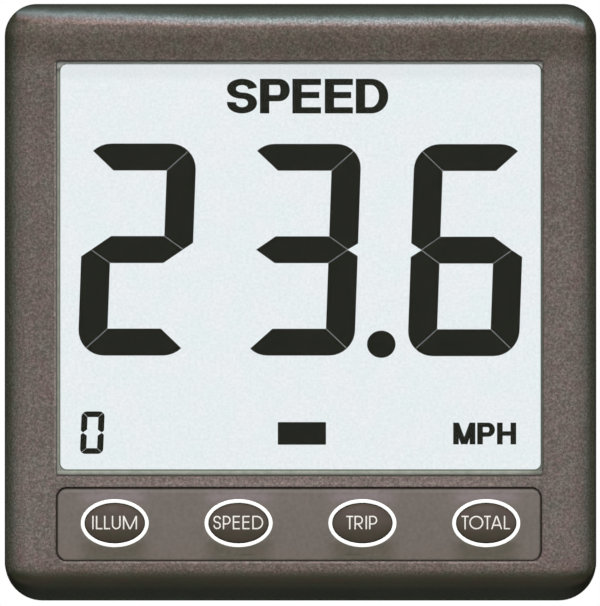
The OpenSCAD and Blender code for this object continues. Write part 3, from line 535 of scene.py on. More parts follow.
def housing_plastic():
    """Dark plastic with a fine eroded grain, brown in front and green-black round its edges in painted shade,
    with bands of painted light and shade across its face.
    """
    s = Shader("housing_plastic", (0.12, 0.10, 0.09), 0.40, 0.12,
               Specular_IOR_Level=0.0, Specular_Tint=(0, 0, 0, 1))
    x, y, z = s.along("X"), s.along("Y"), s.along("Z")
    grain = s.noise(0.00042, 4, 0.75)
    spots = [(0.32, (0.133, 0.102, 0.094)), (0.50, (0.129, 0.106, 0.097)), (0.68, (0.123, 0.111, 0.097))]
    c = s.ramp(s.noise(0.0030, 4), spots)
    # Painted shade round the edges, then painted light and shade along the face.
    c = s.tint(c, s.tones(y, DEPTH_TONES))
    c = s.tint(c, s.tones(z, FACE_TONES))
    # Painted light and shade on the bar between window and keypad.
    strip = s.times(s.band(z, (-35.2, -33.0), (-32.2, -31.2)), s.reach(s.distance(x), 45.5, 36.0))
    c = s.mix(strip, c, s.tint(STRIP_COLOR, s.tones(z, STRIP_TONES)))
    # Painted highlight along the housing's edge just under the keypad.
    lit_under_pad = s.times(s.band(z, (-48.6, -48.4), (-48.2, -48.0)), s.reach(s.distance(x), 44.5, 43.5))
    c = s.mix(lit_under_pad, c, (0.185, 0.150, 0.140))
    # Painted light on the housing along the window's left edge, where it would be in shade.
    lit_by_window = s.times(s.band(x, (-45.8, -45.6), (-45.3, -45.2)), s.band(z, (-32.2, -31.8), (44.4, 44.8)))
    c = s.mix(lit_by_window, c, (0.225, 0.195, 0.175))
    c = s.tint(c, s.tones(x, RIGHT_TONES))
    c = top_highlight_and_shade(s, c, x, z)
    c = s.tint(c, s.mottle(0.02, 2, (0.94, 0.945, 0.93), (1.06, 1.055, 1.07), (0.35, 0.65)))
    c = s.tint(c, s.mottle(0.0007, 2, (1.025, 0.985, 1.005), (0.975, 1.015, 0.995), (0.38, 0.62)))
    flecks = s.ramp(grain, [(0.30, grey(0.49)), (0.5, grey(0.97)), (0.70, grey(1.72))])
    grainy = s.times(s.reach(z, -51.2, -50.0, 0.15, 1.0), s.reach(z, 53.6, 52.6, 0.4, 1.0))
    s.paint(s.groove_shade(s.mix(grainy, c, flecks, "MULTIPLY")))
    s.rough(s.noise(0.0009), 0.35, 0.45)
    s.bump(s.grains(0.00036), 0.000035, 0.8)
    s.bump(grain, 0.00003, 0.7)
    return s.material


def moulded(name, color, roughness, grain=0.0005, depth=0.00002, contrast=0.12):
    """A moulded plastic or rubber with a fine skin and slight shifts of tone."""
    s = Shader(name, color, roughness)
    s.paint(s.mottle(grain * 9, 4, shade(color, 1 - contrast), shade(color, 1 + contrast)))
    s.rough(s.noise(grain * 5), roughness - 0.07, roughness + 0.07)
    s.bump(s.noise(grain, 3), depth, 0.6)
    return s.material


def metal(name, color, roughness, stretch=(1, 1, 1), thread=None):
    """Metal with fine tool marks along one direction and soft stains.

    A thread is given by its pitch and its axis's height, and has painted shade in its groove.
    """
    s = Shader(name, color, roughness, metallic=1.0)
    marks = s.noise(0.0005, 5, 0.6, stretch)
    c = s.ramp(s.noise(0.004, 4), [(0.25, shade(color, 0.9)), (0.6, color), (0.85, shade(color, 1.1))])
    c = s.mix(0.35, c, s.ramp(marks, [(0.3, shade(color, 0.82)), (0.7, shade(color, 1.08))]))
    s.paint(s.thread_shade(c, *thread, shade(color, 0.12)) if thread else c)
    s.rough(marks, roughness - 0.09, roughness + 0.1)
    s.bump(marks, 0.000006, 0.5)
    return s.material


def clear(name, color, alpha, roughness):
    """Clear plastic or glass that lets light straight through."""
    s = Shader(name, color, roughness, Alpha=alpha)
    s.rough(s.noise(0.006, 3), roughness * 0.8, roughness * 1.3)
    return s.material


def cell_face():
    """The display's pale ground, faintly cloudy. It glows, standing for the light of its lamps coming
    through, and the glow is also painted light that fills the shade the bezel casts on it.
    """
    s = Shader("cell_face", (0.16, 0.17, 0.17), 0.6, Specular_IOR_Level=0.0,
               Emission_Color=(0.886, 0.932, 0.948, 1), Emission_Strength=0.885)
    cloud = [(0.32, (0.035, 0.07, 0.07)), (0.5, (0.08, 0.10, 0.10)), (0.68, (0.14, 0.13, 0.13))]
    c = s.ramp(s.noise(0.0016, 4, 0.6), cloud)
    c = s.mix(0.5, c, s.mottle(0.0055, 3, (0.01, 0.12, 0.10), (0.16, 0.08, 0.13), (0.35, 0.65)))
    c = s.mix(0.5, c, s.mottle(0.0006, 3, (0.0, 0.01, 0.01), grey(0.19), (0.35, 0.65), 0.7))
    s.paint(c)
    return s.material


def frame_plastic():
    """The pale strip round the display, with painted light and shade: brighter at the left, below and along
    the top, and a painted shade line along its opening.
    """
    s = Shader("frame_plastic", (0.26, 0.27, 0.235), 0.5, Specular_IOR_Level=0.1)
    x, z = s.along("X"), s.along("Z")
    spots = s.mottle(0.0016, 4, (0.86, 0.88, 0.86), (1.12, 1.10, 1.12), (0.35, 0.65))
    c = s.tint(s.tones(x, FRAME_COLORS), spots)
    # Painted light along the top, where the bezel's shadow falls.
    c = s.mix(s.reach(z, 43.2, 44.0), c, (0.98, 0.98, 0.93))
    c = s.tint(c, s.tones(z, FRAME_TONES))
    # Painted shade: a dark line along the frame's opening, strongest below and at the right.
    far = s.corner_distance((0.0, VIEW_Y), (VIEW_W / 2, VIEW_H / 2), VIEW_CORNER)
    line = s.reach(far, VIEW_CORNER + 0.25, VIEW_CORNER + 0.15)
    weight = s.math("MAXIMUM", s.reach(z, -26.0, -30.5), s.reach(x, 42.5, 44.2))
    weight = s.math("MAXIMUM", weight, s.reach(x, -44.0, -44.6, 0.3, 0.7))
    s.paint(s.mix(s.times(line, weight), c, (0.10, 0.135, 0.098)))
    s.bump(s.noise(0.0006, 3), 0.00001, 0.5)
    return s.material


def key_rubber():
    s = Shader("key_rubber", (0.07, 0.055, 0.045), 0.5, Specular_IOR_Level=0.15)
    c = s.mottle(0.0018, 4, (0.049, 0.041, 0.029), (0.063, 0.044, 0.037))
    # Painted light and shade down each key.
    s.paint(s.tint(c, s.tones(s.along("Z"), KEY_TONES)))
    s.rough(s.noise(0.002), 0.44, 0.56)
    s.bump(s.noise(0.0004, 3), 0.00001, 0.5)
    return s.material


def mat_rubber():
    """The keypad's brown rubber, in painted shade under each ring and with painted light above it."""
    s = Shader("mat_rubber", (0.18, 0.15, 0.135), 0.52, Specular_IOR_Level=0.1)
    x, z = s.along("X"), s.along("Z")
    c = s.mottle(0.003, 5, (0.134, 0.117, 0.104), (0.158, 0.134, 0.119))
    c = s.mix(0.5, c, s.mottle(0.0008, 3, (0.120, 0.108, 0.096), (0.172, 0.143, 0.128), (0.32, 0.68)))
    c = s.tint(c, s.tones(z, MAT_TONES))
    aside = s.distance(s.distance(s.distance(x), KEY_PITCH), KEY_PITCH / 2)
    below = s.times(s.reach(aside, 7.8, 3.8), s.reach(z, -43.6, -45.2))
    above = s.times(s.reach(aside, 7.8, 4.0), s.reach(z, -38.0, -36.2))
    above = s.times(above, s.reach(z, -35.2, -35.9, 0.35, 1.0))
    # Painted shade under each ring and painted light above it.
    c = s.mix(below, c, s.tint(c, (0.72, 0.76, 0.69)))
    c = s.mix(above, c, s.tint(c, (1.29, 1.25, 1.42)))
    s.paint(s.groove_shade(c))
    s.rough(s.noise(0.004), 0.48, 0.58)
    s.bump(s.noise(0.0006, 3), 0.000008, 0.5)
    return s.material


def ink(name, color):
    s = Shader(name, color, 0.5)
    s.paint(s.mottle(0.0012, 4, shade(color, 0.96), shade(color, 1.02), (0.3, 0.6)))
    s.bump(s.noise(0.0003, 2), 0.000004, 0.4)
    return s.material


def segment_black():
    s = Shader("segment_black", (0.022, 0.02, 0.015), 0.55, Specular_IOR_Level=0.0)
    s.paint(s.mottle(0.0014, 4, (0.012, 0.013, 0.008), (0.018, 0.018, 0.013)))
    return s.material


def board_green():
    s = Shader("board_green", (0.02, 0.1, 0.045), 0.35)
    tracks = s.node("ShaderNodeTexWave", wave_type="BANDS", bands_direction="X")
    tracks.inputs["Scale"].default_value = 120
    tracks.inputs["Distortion"].default_value = 6
    s.link(s.coordinates, tracks.inputs["Vector"])
    s.paint(s.ramp(tracks.outputs["Fac"], [(0.45, (0.014, 0.085, 0.036)), (0.6, (0.03, 0.15, 0.065))]))
    s.bump(tracks.outputs["Fac"], 0.00003, 0.5)
    return s.material


M = {
    "housing_plastic": housing_plastic(),
    "mat_rubber": mat_rubber(),
    "key_rubber": key_rubber(),
    "ring_ink": ink("ring_ink", (0.97, 0.97, 0.945)),
    "label_ink": ink("label_ink", (0.76, 0.725, 0.68)),
    "lens_acrylic": clear("lens_acrylic", (0.03, 0.035, 0.035), 0.05, 0.12),
    "cell_glass": clear("cell_glass", (0.03, 0.035, 0.035), 0.04, 0.1),
    "cell_face": cell_face(),
    "polariser_film": clear("polariser_film", (0.85, 0.9, 0.89), 0.02, 0.3),
    "segment_dark": segment_black(),
    "reflector_film": moulded("reflector_film", (0.8, 0.87, 0.88), 0.6),
    "frame_plastic": frame_plastic(),
    "clear_guide": clear("clear_guide", (0.9, 0.95, 0.96), 0.35, 0.1),
    "lamp_resin": moulded("lamp_resin", (0.8, 0.6, 0.25), 0.3),
    "black_rubber": moulded("black_rubber", (0.016, 0.016, 0.015), 0.62, 0.0006, 0.00003, 0.3),
    "board_green": board_green(),
    "chip_black": moulded("chip_black", (0.012, 0.012, 0.014), 0.45),
    "can_steel": metal("can_steel", (0.6, 0.6, 0.58), 0.28),
    "capacitor_sleeve": moulded("capacitor_sleeve", (0.015, 0.03, 0.08), 0.3),
    "header_ivory": moulded("header_ivory", (0.75, 0.7, 0.55), 0.45),
    "cover_plastic": moulded("cover_plastic", (0.032, 0.030, 0.028), 0.5, 0.0005, 0.00004, 0.18),
    "stainless": metal("stainless", (0.57, 0.57, 0.56), 0.30, (0.06, 1, 1)),
    "thread_steel": metal("thread_steel", (0.57, 0.57, 0.56), 0.32, thread=(0.8, 0.0)),
    "thread_nickel": metal("thread_nickel", (0.62, 0.60, 0.56), 0.24, (1, 0.1, 1), (1.0, ENTRY_Y)),
    "screw_steel": metal("screw_steel", (0.6, 0.6, 0.59), 0.3),
    "nut_brass": metal("nut_brass", (0.62, 0.42, 0.14), 0.28, (1, 0.1, 1)),
    "gland_nylon": moulded("gland_nylon", (0.022, 0.022, 0.023), 0.45, 0.0006, 0.00003, 0.2),
    "socket_nickel": metal("socket_nickel", (0.62, 0.60, 0.56), 0.2, (1, 0.1, 1)),
    "contact_gold": metal("contact_gold", (0.8, 0.55, 0.2), 0.2),
}
for item in frame["record"]["subparts"]:
    node = NODES[item["node"]]
    node.data.materials.clear()
    node.data.materials.append(M[item["material_slot"]])
NODES["rear_glass"].data.materials[0] = M["cell_face"]

# Housing


def edge_in(s, depth, fill):
    """How far in a front edge is at depth s behind the face, from 1 at the face to 0 where the edge ends."""
    return 0.0 if s >= depth else 1 - (1 - (1 - s / depth) ** fill) ** (1 / fill)


def edge_loop(s, less=0.0, steps=14):
    """The housing's outline at depth s behind the front face."""
    reach, low = edge_in(s, EDGE_DEPTH, 2), edge_in(s, EDGE_BOTTOM_DEPTH, EDGE_BOTTOM_FILL)
    loop = []
    for quarter, (sx, sy) in enumerate(QUARTERS):
        r, lift = (CORNER_TOP, EDGE_TOP * reach) if sy > 0 else (CORNER_BOTTOM, EDGE_BOTTOM * low)
        for i in range(steps + 1):
            a = math.radians(90 * (quarter + i / steps))
            loop.append((sx * (BODY_W / 2 - r - less) + (r - EDGE_SIDE * reach) * math.cos(a),
                         sy * (BODY_H / 2 - r - less) + (r - lift) * math.sin(a)))
    return loop


def window_loop(grow=0.0):
    return plate_loop(WINDOW_W + 2 * grow, WINDOW_H + 2 * grow, WINDOW_CORNER + grow, steps=6,
                      y0=WINDOW_Y, x0=WINDOW_X)


def pad_loop(grow=0.0):
    return plate_loop(PAD_W + 2 * grow, PAD_H + 2 * grow, PAD_CORNER + grow, steps=12, y0=PAD_Y, x0=PAD_X)


def front_housing():
    b = Builder()
    far = FRONT_Z - BACK_Z
    back_round = ((0.5, 0.0), (0.15, 0.15), (0.0, 0.5))
    skin = [b.ring(edge_loop(far, less), BACK_Z + up) for less, up in back_round]
    lower = EDGE_BOTTOM_DEPTH - EDGE_DEPTH
    depths = [EDGE_BOTTOM_DEPTH - lower * i / 12 for i in range(12)]
    depths += [EDGE_DEPTH * (1 - math.sin(math.pi / 2 * i / 28)) for i in range(29)]
    b.stack(skin + [b.ring(edge_loop(s), FRONT_Z - s) for s in depths])
    b.flat([edge_loop(0)], FRONT_Z, [window_loop(OPENING_FILLET), pad_loop(OPENING_FILLET)])
    for loop, floor_z in ((window_loop, INSIDE_Z), (pad_loop, PAD_FLOOR)):
        bend = [b.ring(loop(g), FRONT_Z - d) for g, d in quarter_round(OPENING_FILLET, 5)]
        b.stack(bend + [b.ring(loop(), floor_z)])
    ovals = [oval_loop(KEY_HOLE_W, KEY_HOLE_H, x, KEY_Y) for x in KEY_X]
    b.flat([pad_loop()], PAD_FLOOR, ovals)
    for oval in ovals:
        b.wall(oval, PAD_FLOOR, INSIDE_Z)
    top = CAVITY_H / 2
    cavity = plate_loop(CAVITY_W, CAVITY_H, CAVITY_CORNER)
    upper = plate_loop(CAVITY_W, top - SILL_Y, CAVITY_CORNER, y0=(top + SILL_Y) / 2)
    rim = plate_loop(REBATE_W, REBATE_H, CORNER_TOP - REBATE_WALL, CORNER_BOTTOM - REBATE_WALL)
    b.flat([upper], INSIDE_Z, [window_loop(), *ovals])
    b.wall(upper, INSIDE_Z, SILL_Z)
    b.flat([cavity], SILL_Z, [upper])
    b.wall(cavity, SILL_Z, LEDGE_Z)
    b.flat([rim], LEDGE_Z, [cavity])
    b.wall(rim, LEDGE_Z, BACK_Z)
    b.flat([edge_loop(far, back_round[0][0])], BACK_Z, [rim])
    b.make("bezel", "head", "housing_plastic", ["front_housing"], 40)


front_housing()

# Window


def pane_loop(less=0.0):
    """The outline of the window's raised part, which stands just clear of the housing's opening."""
    w, h = (size - 2 * (PANE_GAP + less) for size in (WINDOW_W, WINDOW_H))
    return plate_loop(w, h, PANE_CORNER, steps=8, y0=WINDOW_Y, x0=WINDOW_X)


def lens():
    """The clear window. It is open behind, so that a line of sight meets one surface only."""
    b = Builder()
    flange = plate_loop(FLANGE_W, FLANGE_H, 1.0, steps=8, y0=FLANGE_Y)
    rings = [b.ring(flange, LENS_LOW), b.ring(flange, FLANGE_TOP), b.ring(pane_loop(), FLANGE_TOP)]
    rings += [b.ring(pane_loop(g), LENS_TOP - d) for g, d in reversed(quarter_round(PANE_CORNER, 6))]
    b.stack(rings)
    b.flat([pane_loop(PANE_CORNER)], LENS_TOP)
    b.make("window_pane", "head", "lens_acrylic", ["window_lens"])


def cell_front():
    """The front glass with its film, as one shell that is open behind."""
    b = Builder()
    low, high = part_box("front_glass")
    x0, x1, y0, y1 = low.x * 1000, high.x * 1000, low.z * 1000, high.z * 1000
    loop, film = [plate_loop(x1 - x0 - less, y1 - y0 - less, 0.2, steps=4, y0=(y0 + y1) / 2)
                  for less in (0.0, 2 * FILM_THICK)]
    b.stack([b.ring(loop, CELL_LOW), b.ring(loop, CELL_TOP - FILM_THICK), b.ring(film, CELL_TOP)])
    b.flat([film], CELL_TOP)
    b.make("cell_front", "head", "cell_glass", ["front_glass", "front_polariser"], 20)


lens()
cell_front()

# Keypad


def smooth_step(t):
    t = min(1.0, max(0.0, t))
    return t * t * (3 - 2 * t)


def mat_height(x, y):
    """The mat swells softly under each ring."""
    a, c = RING_W / 2 + RING_LINE, RING_H / 2 + RING_LINE
    rise = 0.0
    for kx in KEY_X:
        s = math.hypot((x - kx) / a, (y - KEY_Y) / c)
        far = math.hypot(x - kx, y - KEY_Y) * (1 - 1 / s) if s > 1 else 0.0
        rise = max(rise, smooth_step(1 - far / SWELL_REACH))
    return MAT_Z + SWELL * rise


def keypad_mat():
    b = Builder()
    inner = -MAT_GAP - MAT_FILLET
    ovals = [oval_loop(RING_W, RING_H, x, KEY_Y) for x in KEY_X]
    bend = [b.ring(pad_loop(inner + g), MAT_Z - d) for g, d in quarter_round(MAT_FILLET, 5)]
    b.stack(bend + [b.ring(pad_loop(-MAT_GAP), PAD_FLOOR)])
    clear_of_edge = pad_loop(inner - 0.2)
    across, up = int(PAD_W / 2 / MAT_GRID) - 2, int(PAD_H / 2 / MAT_GRID) - 1
    extra = []
    for i in range(-across, across + 1):
        for j in range(-up, up + 1):
            x, y = i * MAT_GRID, KEY_Y + j * MAT_GRID
            near = min(math.hypot((x - kx) / (RING_W / 2), (y - KEY_Y) / (RING_H / 2)) for kx in KEY_X)
            if near > 1.04 and inside((x, y), clear_of_edge):
                extra.append((x, y))
    b.flat([pad_loop(inner)], mat_height, ovals, extra)
    b.flat([pad_loop(-MAT_GAP)], PAD_FLOOR, ovals)
    for oval in ovals:
        b.wall(oval, mat_height, PAD_FLOOR)
    b.make("keypad_skin", "head", "mat_rubber", ["keypad_mat"], 50)


def ring_prints():
    """The rings printed round the keys, crowned across their line."""
    b = Builder()
    steps = 8
    for x in KEY_X:
        rings = []
        for k in range(steps + 1):
            t = k / steps
            lift = RING_RISE * math.sin(math.pi * t) ** 0.4 - RING_SINK
            grow = 2 * RING_LINE * t
            loop = oval_loop(RING_W + grow, RING_H + grow, x, KEY_Y)
            rings.append(b.ring(loop, lambda px, py, lift=lift: mat_height(px, py) + lift))
        b.stack([*rings, rings[0]])
    b.make("key_ring_prints", "head", "ring_ink", ["key_rings"], 60)


def key_dome(x, y):
    """Height of a key's crown, from its middle."""
    a, c = RING_W / 2 - KEY_GAP, RING_H / 2 - KEY_GAP
    s = min(1.0, math.hypot(x / a, y / c))
    return MAT_Z + KEY_CROWN - KEY_FALL * s * s - KEY_SHOULDER * s ** 8


def key(x0, name):
    b = Builder()
    w, h, steps = RING_W - 2 * KEY_GAP, RING_H - 2 * KEY_GAP, 20
    rings = []
    for k in range(1, steps + 1):
        s = math.sin(math.pi / 2 * k / steps)
        rings.append(b.ring(oval_loop(w * s, h * s, x0, KEY_Y), lambda x, y: key_dome(x - x0, y - KEY_Y)))
    centre = b.add([(x0, KEY_Y)], key_dome(0, 0))
    first = rings[0]
    b.faces += [(first[j - 1], first[j], centre) for j in range(len(first))]
    flange = oval_loop(w + KEY_FLANGE, h + KEY_FLANGE, x0, KEY_Y)
    stem = oval_loop(KEY_STEM, KEY_STEM, x0, KEY_Y)
    rings += [b.ring(oval_loop(w, h, x0, KEY_Y), KEY_FLANGE_TOP), b.ring(flange, KEY_FLANGE_TOP),
              b.ring(flange, KEY_FLANGE_LOW), b.ring(stem, KEY_FLANGE_LOW), b.ring(stem, KEY_LOW)]
    b.stack(rings)
    b.flat([stem], KEY_LOW)
    b.make("cap_" + name, name + "_key", "key_rubber", ["key_" + name], 40)


keypad_mat()
ring_prints()
for x, name in zip(KEY_X, KEYS):
    key(x, name)

# Lettering


def stroke(points, t_up, t_level):
    """A line drawn as a band, t_up wide where it runs upright and t_level wide where it runs level."""
    fine = [points[0]]
    for (x0, y0), (x1, y1) in zip(points, points[1:]):
        steps = max(1, math.ceil(math.hypot(x1 - x0, y1 - y0) / 0.3))
        fine += [(x0 + (x1 - x0) * k / steps, y0 + (y1 - y0) * k / steps) for k in range(1, steps + 1)]
    left, right = [], []
    for i, (x, y) in enumerate(fine):
        x0, y0 = fine[max(0, i - 1)]
        x1, y1 = fine[min(len(fine) - 1, i + 1)]
        n = math.hypot(x1 - x0, y1 - y0)
        dx, dy = (x1 - x0) / n, (y1 - y0) / n
        t = math.hypot(t_up * dy, t_level * dx) / 2
        left.append((x - dy * t, y + dx * t))
        right.append((x + dy * t, y - dx * t))
    return left + right[::-1]


def bow(cx, cy, rx, ry, start, end, steps):
    turn = [math.radians(start + (end - start) * i / steps) for i in range(steps + 1)]
    return [(cx + rx * math.cos(a), cy + ry * math.sin(a)) for a in turn]


def letter(c, w, h, u, v):
    """The bands of one capital letter, w wide and h high, with u and v its upright and level line widths."""
    l, r, b, t, m = u / 2, w - u / 2, v / 2, h - v / 2, h / 2

    def up(x, y0=0.0, y1=h):
        return [(x, y0), (x, y1)]

    def level(y, x0=0.0, x1=w):
        return [(x0, y), (x1, y)]

    if c == "I":
        lines = [up(w / 2)]
    elif c == "L":
        lines = [up(l), level(b)]
    elif c == "T":
        lines = [level(t), up(w / 2)]
    elif c == "E":
        lines = [up(l), level(t), level(0.53 * h, 0, 0.94 * w), level(b)]
    elif c == "H":
        lines = [up(l), up(r), level(m)]
    elif c == "O":
        lines = [bow(w / 2, m, w / 2 - l, m - b, start, start + 184, 30) for start in (0, 180)]
    elif c == "D":
        k = min(w - u, h / 2)
        lines = [up(l), level(t, 0, w - k), level(b, 0, w - k), bow(w - k, m, k - l, m - b, -91, 91, 30)]
    elif c in "PR":
        k = 0.325 * h
        j = min(k, 0.6 * w)
        y = h - 2 * k
        lines = [up(l), level(t, 0, w - j), level(y + b, 0, w - j),
                 bow(w - j, h - k, j - l, k - b, -91, 91, 24)]
        if c == "R":
            lines.append([(0.42 * w, y + b), (w - 0.55 * u, 0)])
    elif c == "U":
        k = w / 2
        lines = [up(l, k * 0.98), up(r, k * 0.98), bow(k, k, k - l, k - b, 180, 360, 28)]
    elif c == "M":
        lines = [up(l), up(r), [(l, h), (w / 2, -0.02 * h)], [(w - l, h), (w / 2, -0.02 * h)]]
    elif c == "A":
        legs = [[(l * 0.9, 0), (w / 2 - l * 0.3, h)], [(w - l * 0.9, 0), (w / 2 + l * 0.3, h)]]
        lines = legs + [level(0.3 * h, 0.18 * w, 0.82 * w)]
    elif c == "S":
        upper, lower, bend = 0.485 * h / 2, 0.515 * h / 2, v * 0.25
        lines = [bow(w / 2, h - upper - bend, w / 2 - l, upper - b + bend, 2, 262, 30)
                 + bow(w / 2, lower + bend, w / 2 - l, lower - b + bend, 82, -187, 30)]
    bands = [stroke(line, u, v) for line in lines]
    return [[(x, min(h, max(0.0, y))) for x, y in band] for band in bands]


def clean(band):
    """A band without points that fell together."""
    return [p for i, p in enumerate(band) if math.dist(p, band[i - 1]) > 1e-3]


def word_bands(text, places, y0, h, u, v):
    """A word's letters as lists of bands. places has each letter's left and right end."""
    for c, (x0, x1) in zip(text, places):
        yield [clean([(x0 + x, y0 + y) for x, y in band]) for band in letter(c, x1 - x0, h, u, v)]


# Words with their letters' places, height of the foot, letter height, upright and level line width.
DISPLAY_WORDS = (
    ("SPEED", ((-13.68, -8.08), (-7.54, -1.99), (-1.51, 3.82), (4.52, 9.75), (10.29, 16.33)),
     35.15, 6.45, 1.74, 1.17),
    ("MPH", ((28.40, 32.52), (32.88, 36.17), (36.56, 40.12)), -26.42, 4.06, 1.05, 0.84),
)
KEY_WORDS = {
    "light": ("ILLUM", ((-38.73, -38.38), (-38.0, -36.79), (-36.49, -35.37), (-35.04, -33.41),
                        (-32.98, -30.37))),
    "speed": ("SPEED", ((-16.17, -14.80), (-14.42, -12.98), (-12.58, -11.26), (-10.78, -9.46),
                        (-8.95, -6.93))),
    "trip": ("TRIP", ((8.50, 9.80), (10.03, 11.60), (12.04, 12.39), (12.74, 14.25))),
    "total": ("TOTAL", ((29.93, 31.22), (31.36, 33.95), (34.10, 35.34), (35.40, 37.46), (37.78, 38.92))),
}
KEY_WORD_Y, KEY_WORD_H, KEY_WORD_U, KEY_WORD_V = -42.14, 2.5, 0.255, 0.24
KEY_WORD_SINK, KEY_WORD_RISE = 0.06, 0.025


def display_words():
    b = Builder()
    for word in DISPLAY_WORDS:
        for bands in word_bands(*word):
            b.prism(bands, INK_LOW, INK_TOP)
    b.make("display_words", "head", "segment_dark")


def key_words(kx, name):
    """The word on a key, which follows its crown."""
    b = Builder()

    def over(offset):
        return lambda x, y: key_dome(x - kx, y - KEY_Y) + offset

    for bands in word_bands(*KEY_WORDS[name], KEY_WORD_Y, KEY_WORD_H, KEY_WORD_U, KEY_WORD_V):
        b.prism(bands, over(-KEY_WORD_SINK), over(KEY_WORD_RISE))
    b.make("label_" + name, name + "_key", "ring_ink", material="label_ink")


# Each figure's lit strokes, lower left corner, width and height, upright and level stroke widths,
# slant, corner radius, and the lengths of the middle stroke's tip and of the notch beside it.
FIGURES = (
    ("abged", -41.47, -9.89, 20.74, 39.45, 5.40, 5.02, 0.036, 4.90, 1.80, 1.25),
    ("abgcd", -10.86, -9.89, 20.85, 39.38, 5.43, 4.99, 0.035, 4.66, 1.87, 1.18),
    ("acdefg", 19.86, -10.00, 20.73, 39.45, 5.39, 5.00, 0.035, 4.75, 1.93, 1.28),
    ("abcdef", -41.04, -28.18, 4.31, 7.90, 1.15, 1.06, 0.041, 1.00, 0.41, 0.40),
)
STROKE_CUT = 0.032
POINT_W, POINT_H, POINT_X, POINT_Y = 5.3, 5.07, 15.03, -7.78
BAR_W, BAR_H, BAR_X, BAR_Y = 8.97, 4.21, 0.26, -24.37


def figure_stroke(name, w, h, u, v, tip, notch):
    """One stroke's outline. They are named a to g as on any seven-segment display."""
    g = STROKE_CUT
    if name in "ad":
        points = [(g, h), (w - g, h), (w - u - g, h - v), (u + g, h - v)]
    elif name == "g":
        points = [(tip + g, h / 2), (u + g, (h + v) / 2), (w - u - g, (h + v) / 2),
                  (w - tip - g, h / 2), (w - u - g, (h - v) / 2), (u + g, (h - v) / 2)]
    else:
        points = [(w, h - g), (w - u, h - v - g), (w - u, (h + v) / 2 + g),
                  (w - tip, h / 2 + g), (w, h / 2 + notch)]
    if name in "cde":
        points = [(x, h - y) for x, y in points]
    return [(w - x, y) for x, y in points] if name in "ef" else points


def cut(points, loop):
    """A convex outline cut to what lies within another that runs counter-clockwise."""
    for (ax, ay), (bx, by) in zip(loop, loop[1:] + loop[:1]):
        depth = [(bx - ax) * (y - ay) - (by - ay) * (x - ax) for x, y in points]
        kept = []
        for i, (p, d) in enumerate(zip(points, depth)):
            q, e = points[i - 1], depth[i - 1]
            if (d >= 0) != (e >= 0):
                t = e / (e - d)
                kept.append((q[0] + (p[0] - q[0]) * t, q[1] + (p[1] - q[1]) * t))
            if d >= 0:
                kept.append(p)
        points = kept
    return points


def display_figures():
    b = Builder()
    b.prism([oval_loop(POINT_W, POINT_H, POINT_X, POINT_Y, 64)], INK_LOW, INK_TOP)
    b.prism([plate_loop(BAR_W, BAR_H, 0.15, steps=3, y0=BAR_Y, x0=BAR_X)], INK_LOW, INK_TOP)
    for strokes, x0, y0, w, h, u, v, slant, r, tip, notch in FIGURES:
        loop = plate_loop(w, h, r, steps=8, y0=h / 2, x0=w / 2)
        for name in strokes:
            band = cut(figure_stroke(name, w, h, u, v, tip, notch), loop)
            b.prism([clean([(x0 + x + slant * y, y0 + y) for x, y in band])], INK_LOW, INK_TOP)
    b.make("display_figures", "head", "segment_dark", ["display_segments"])


display_figures()
display_words()
for x, name in zip(KEY_X, KEYS):
    key_words(x, name)

# Rear fittings


def wave(turns):
    """A smooth wave from 0 to 1, one for each whole turn."""
    return 0.5 - 0.5 * math.cos(2 * math.pi * turns)


def heights(z0, z1, gap):
    """Heights from one to the other, evenly spaced and no further apart than the gap."""
    n = math.ceil(abs(z1 - z0) / gap)
    return [z0 + (z1 - z0) * i / n for i in range(n + 1)]


def stud():
    """The M5 stud with its rolled thread and its hexagon head inside the case."""
    b = Builder()
    r, pitch, depth = 2.5, 0.8, 0.32
    tip, end, start, floor_z = -57.0, -56.2, -21.4, -17.5
    head_r, head_h = 4.62, 3.5

    def thread(radius, z, a):
        held = min(1.0, (start - z) / pitch, (z - end) / pitch) if radius == r and end < z < start else 0.0
        return radius - depth * held * wave(z / pitch + a / (2 * math.pi))

    profile = [(0.0, tip), (1.6, tip), (1.9, tip + 0.2)]
    profile += [(r, z) for z in heights(end, start, pitch / 6)] + [(r, floor_z), (0.0, floor_z)]
    b.turned(profile, 0.0, 24, thread)
    turn = [math.radians(60 * i + 30) for i in range(6)]
    b.prism([[(head_r * math.cos(a), head_r * math.sin(a)) for a in turn]], floor_z, floor_z + head_h)
    b.make("threaded_stud", "head", "stainless", ["mounting_stud"], 40, "thread_steel")


def gland_cap():
    """The gland's domed cap, with grip ribs round it."""
    b = Builder()
    r, ribs, rib_depth = 6.7, 20, 0.42
    rib_low, rib_top, rib_end = -28.0, -23.5, 0.6

    def ribbed(radius, z, a):
        held = min(1.0, max(0.0, (z - rib_low) / rib_end), max(0.0, (rib_top - z) / rib_end))
        return radius - (rib_depth * held * wave(ribs * a / (2 * math.pi)) if radius == r else 0.0)

    dome = [(4.1, -31.5), (4.5, -31.4), (5.2, -30.6), (5.9, -29.6), (6.4, -28.7)]
    grip = [(r, z) for z in (-28.1, -27.8, -27.4, -24.1, -23.7, -23.4)]
    foot = [(6.55, -23.1), (6.4, -23.0), (4.25, -23.0), (4.25, -30.0), (3.1, -30.0)]
    b.turned([(3.1, -31.3), (3.3, -31.5)] + dome + grip + foot, -ENTRY_Y, 200, ribbed)
    b.make("gland_dome", "head", "gland_nylon", ["gland_cap"], 35)


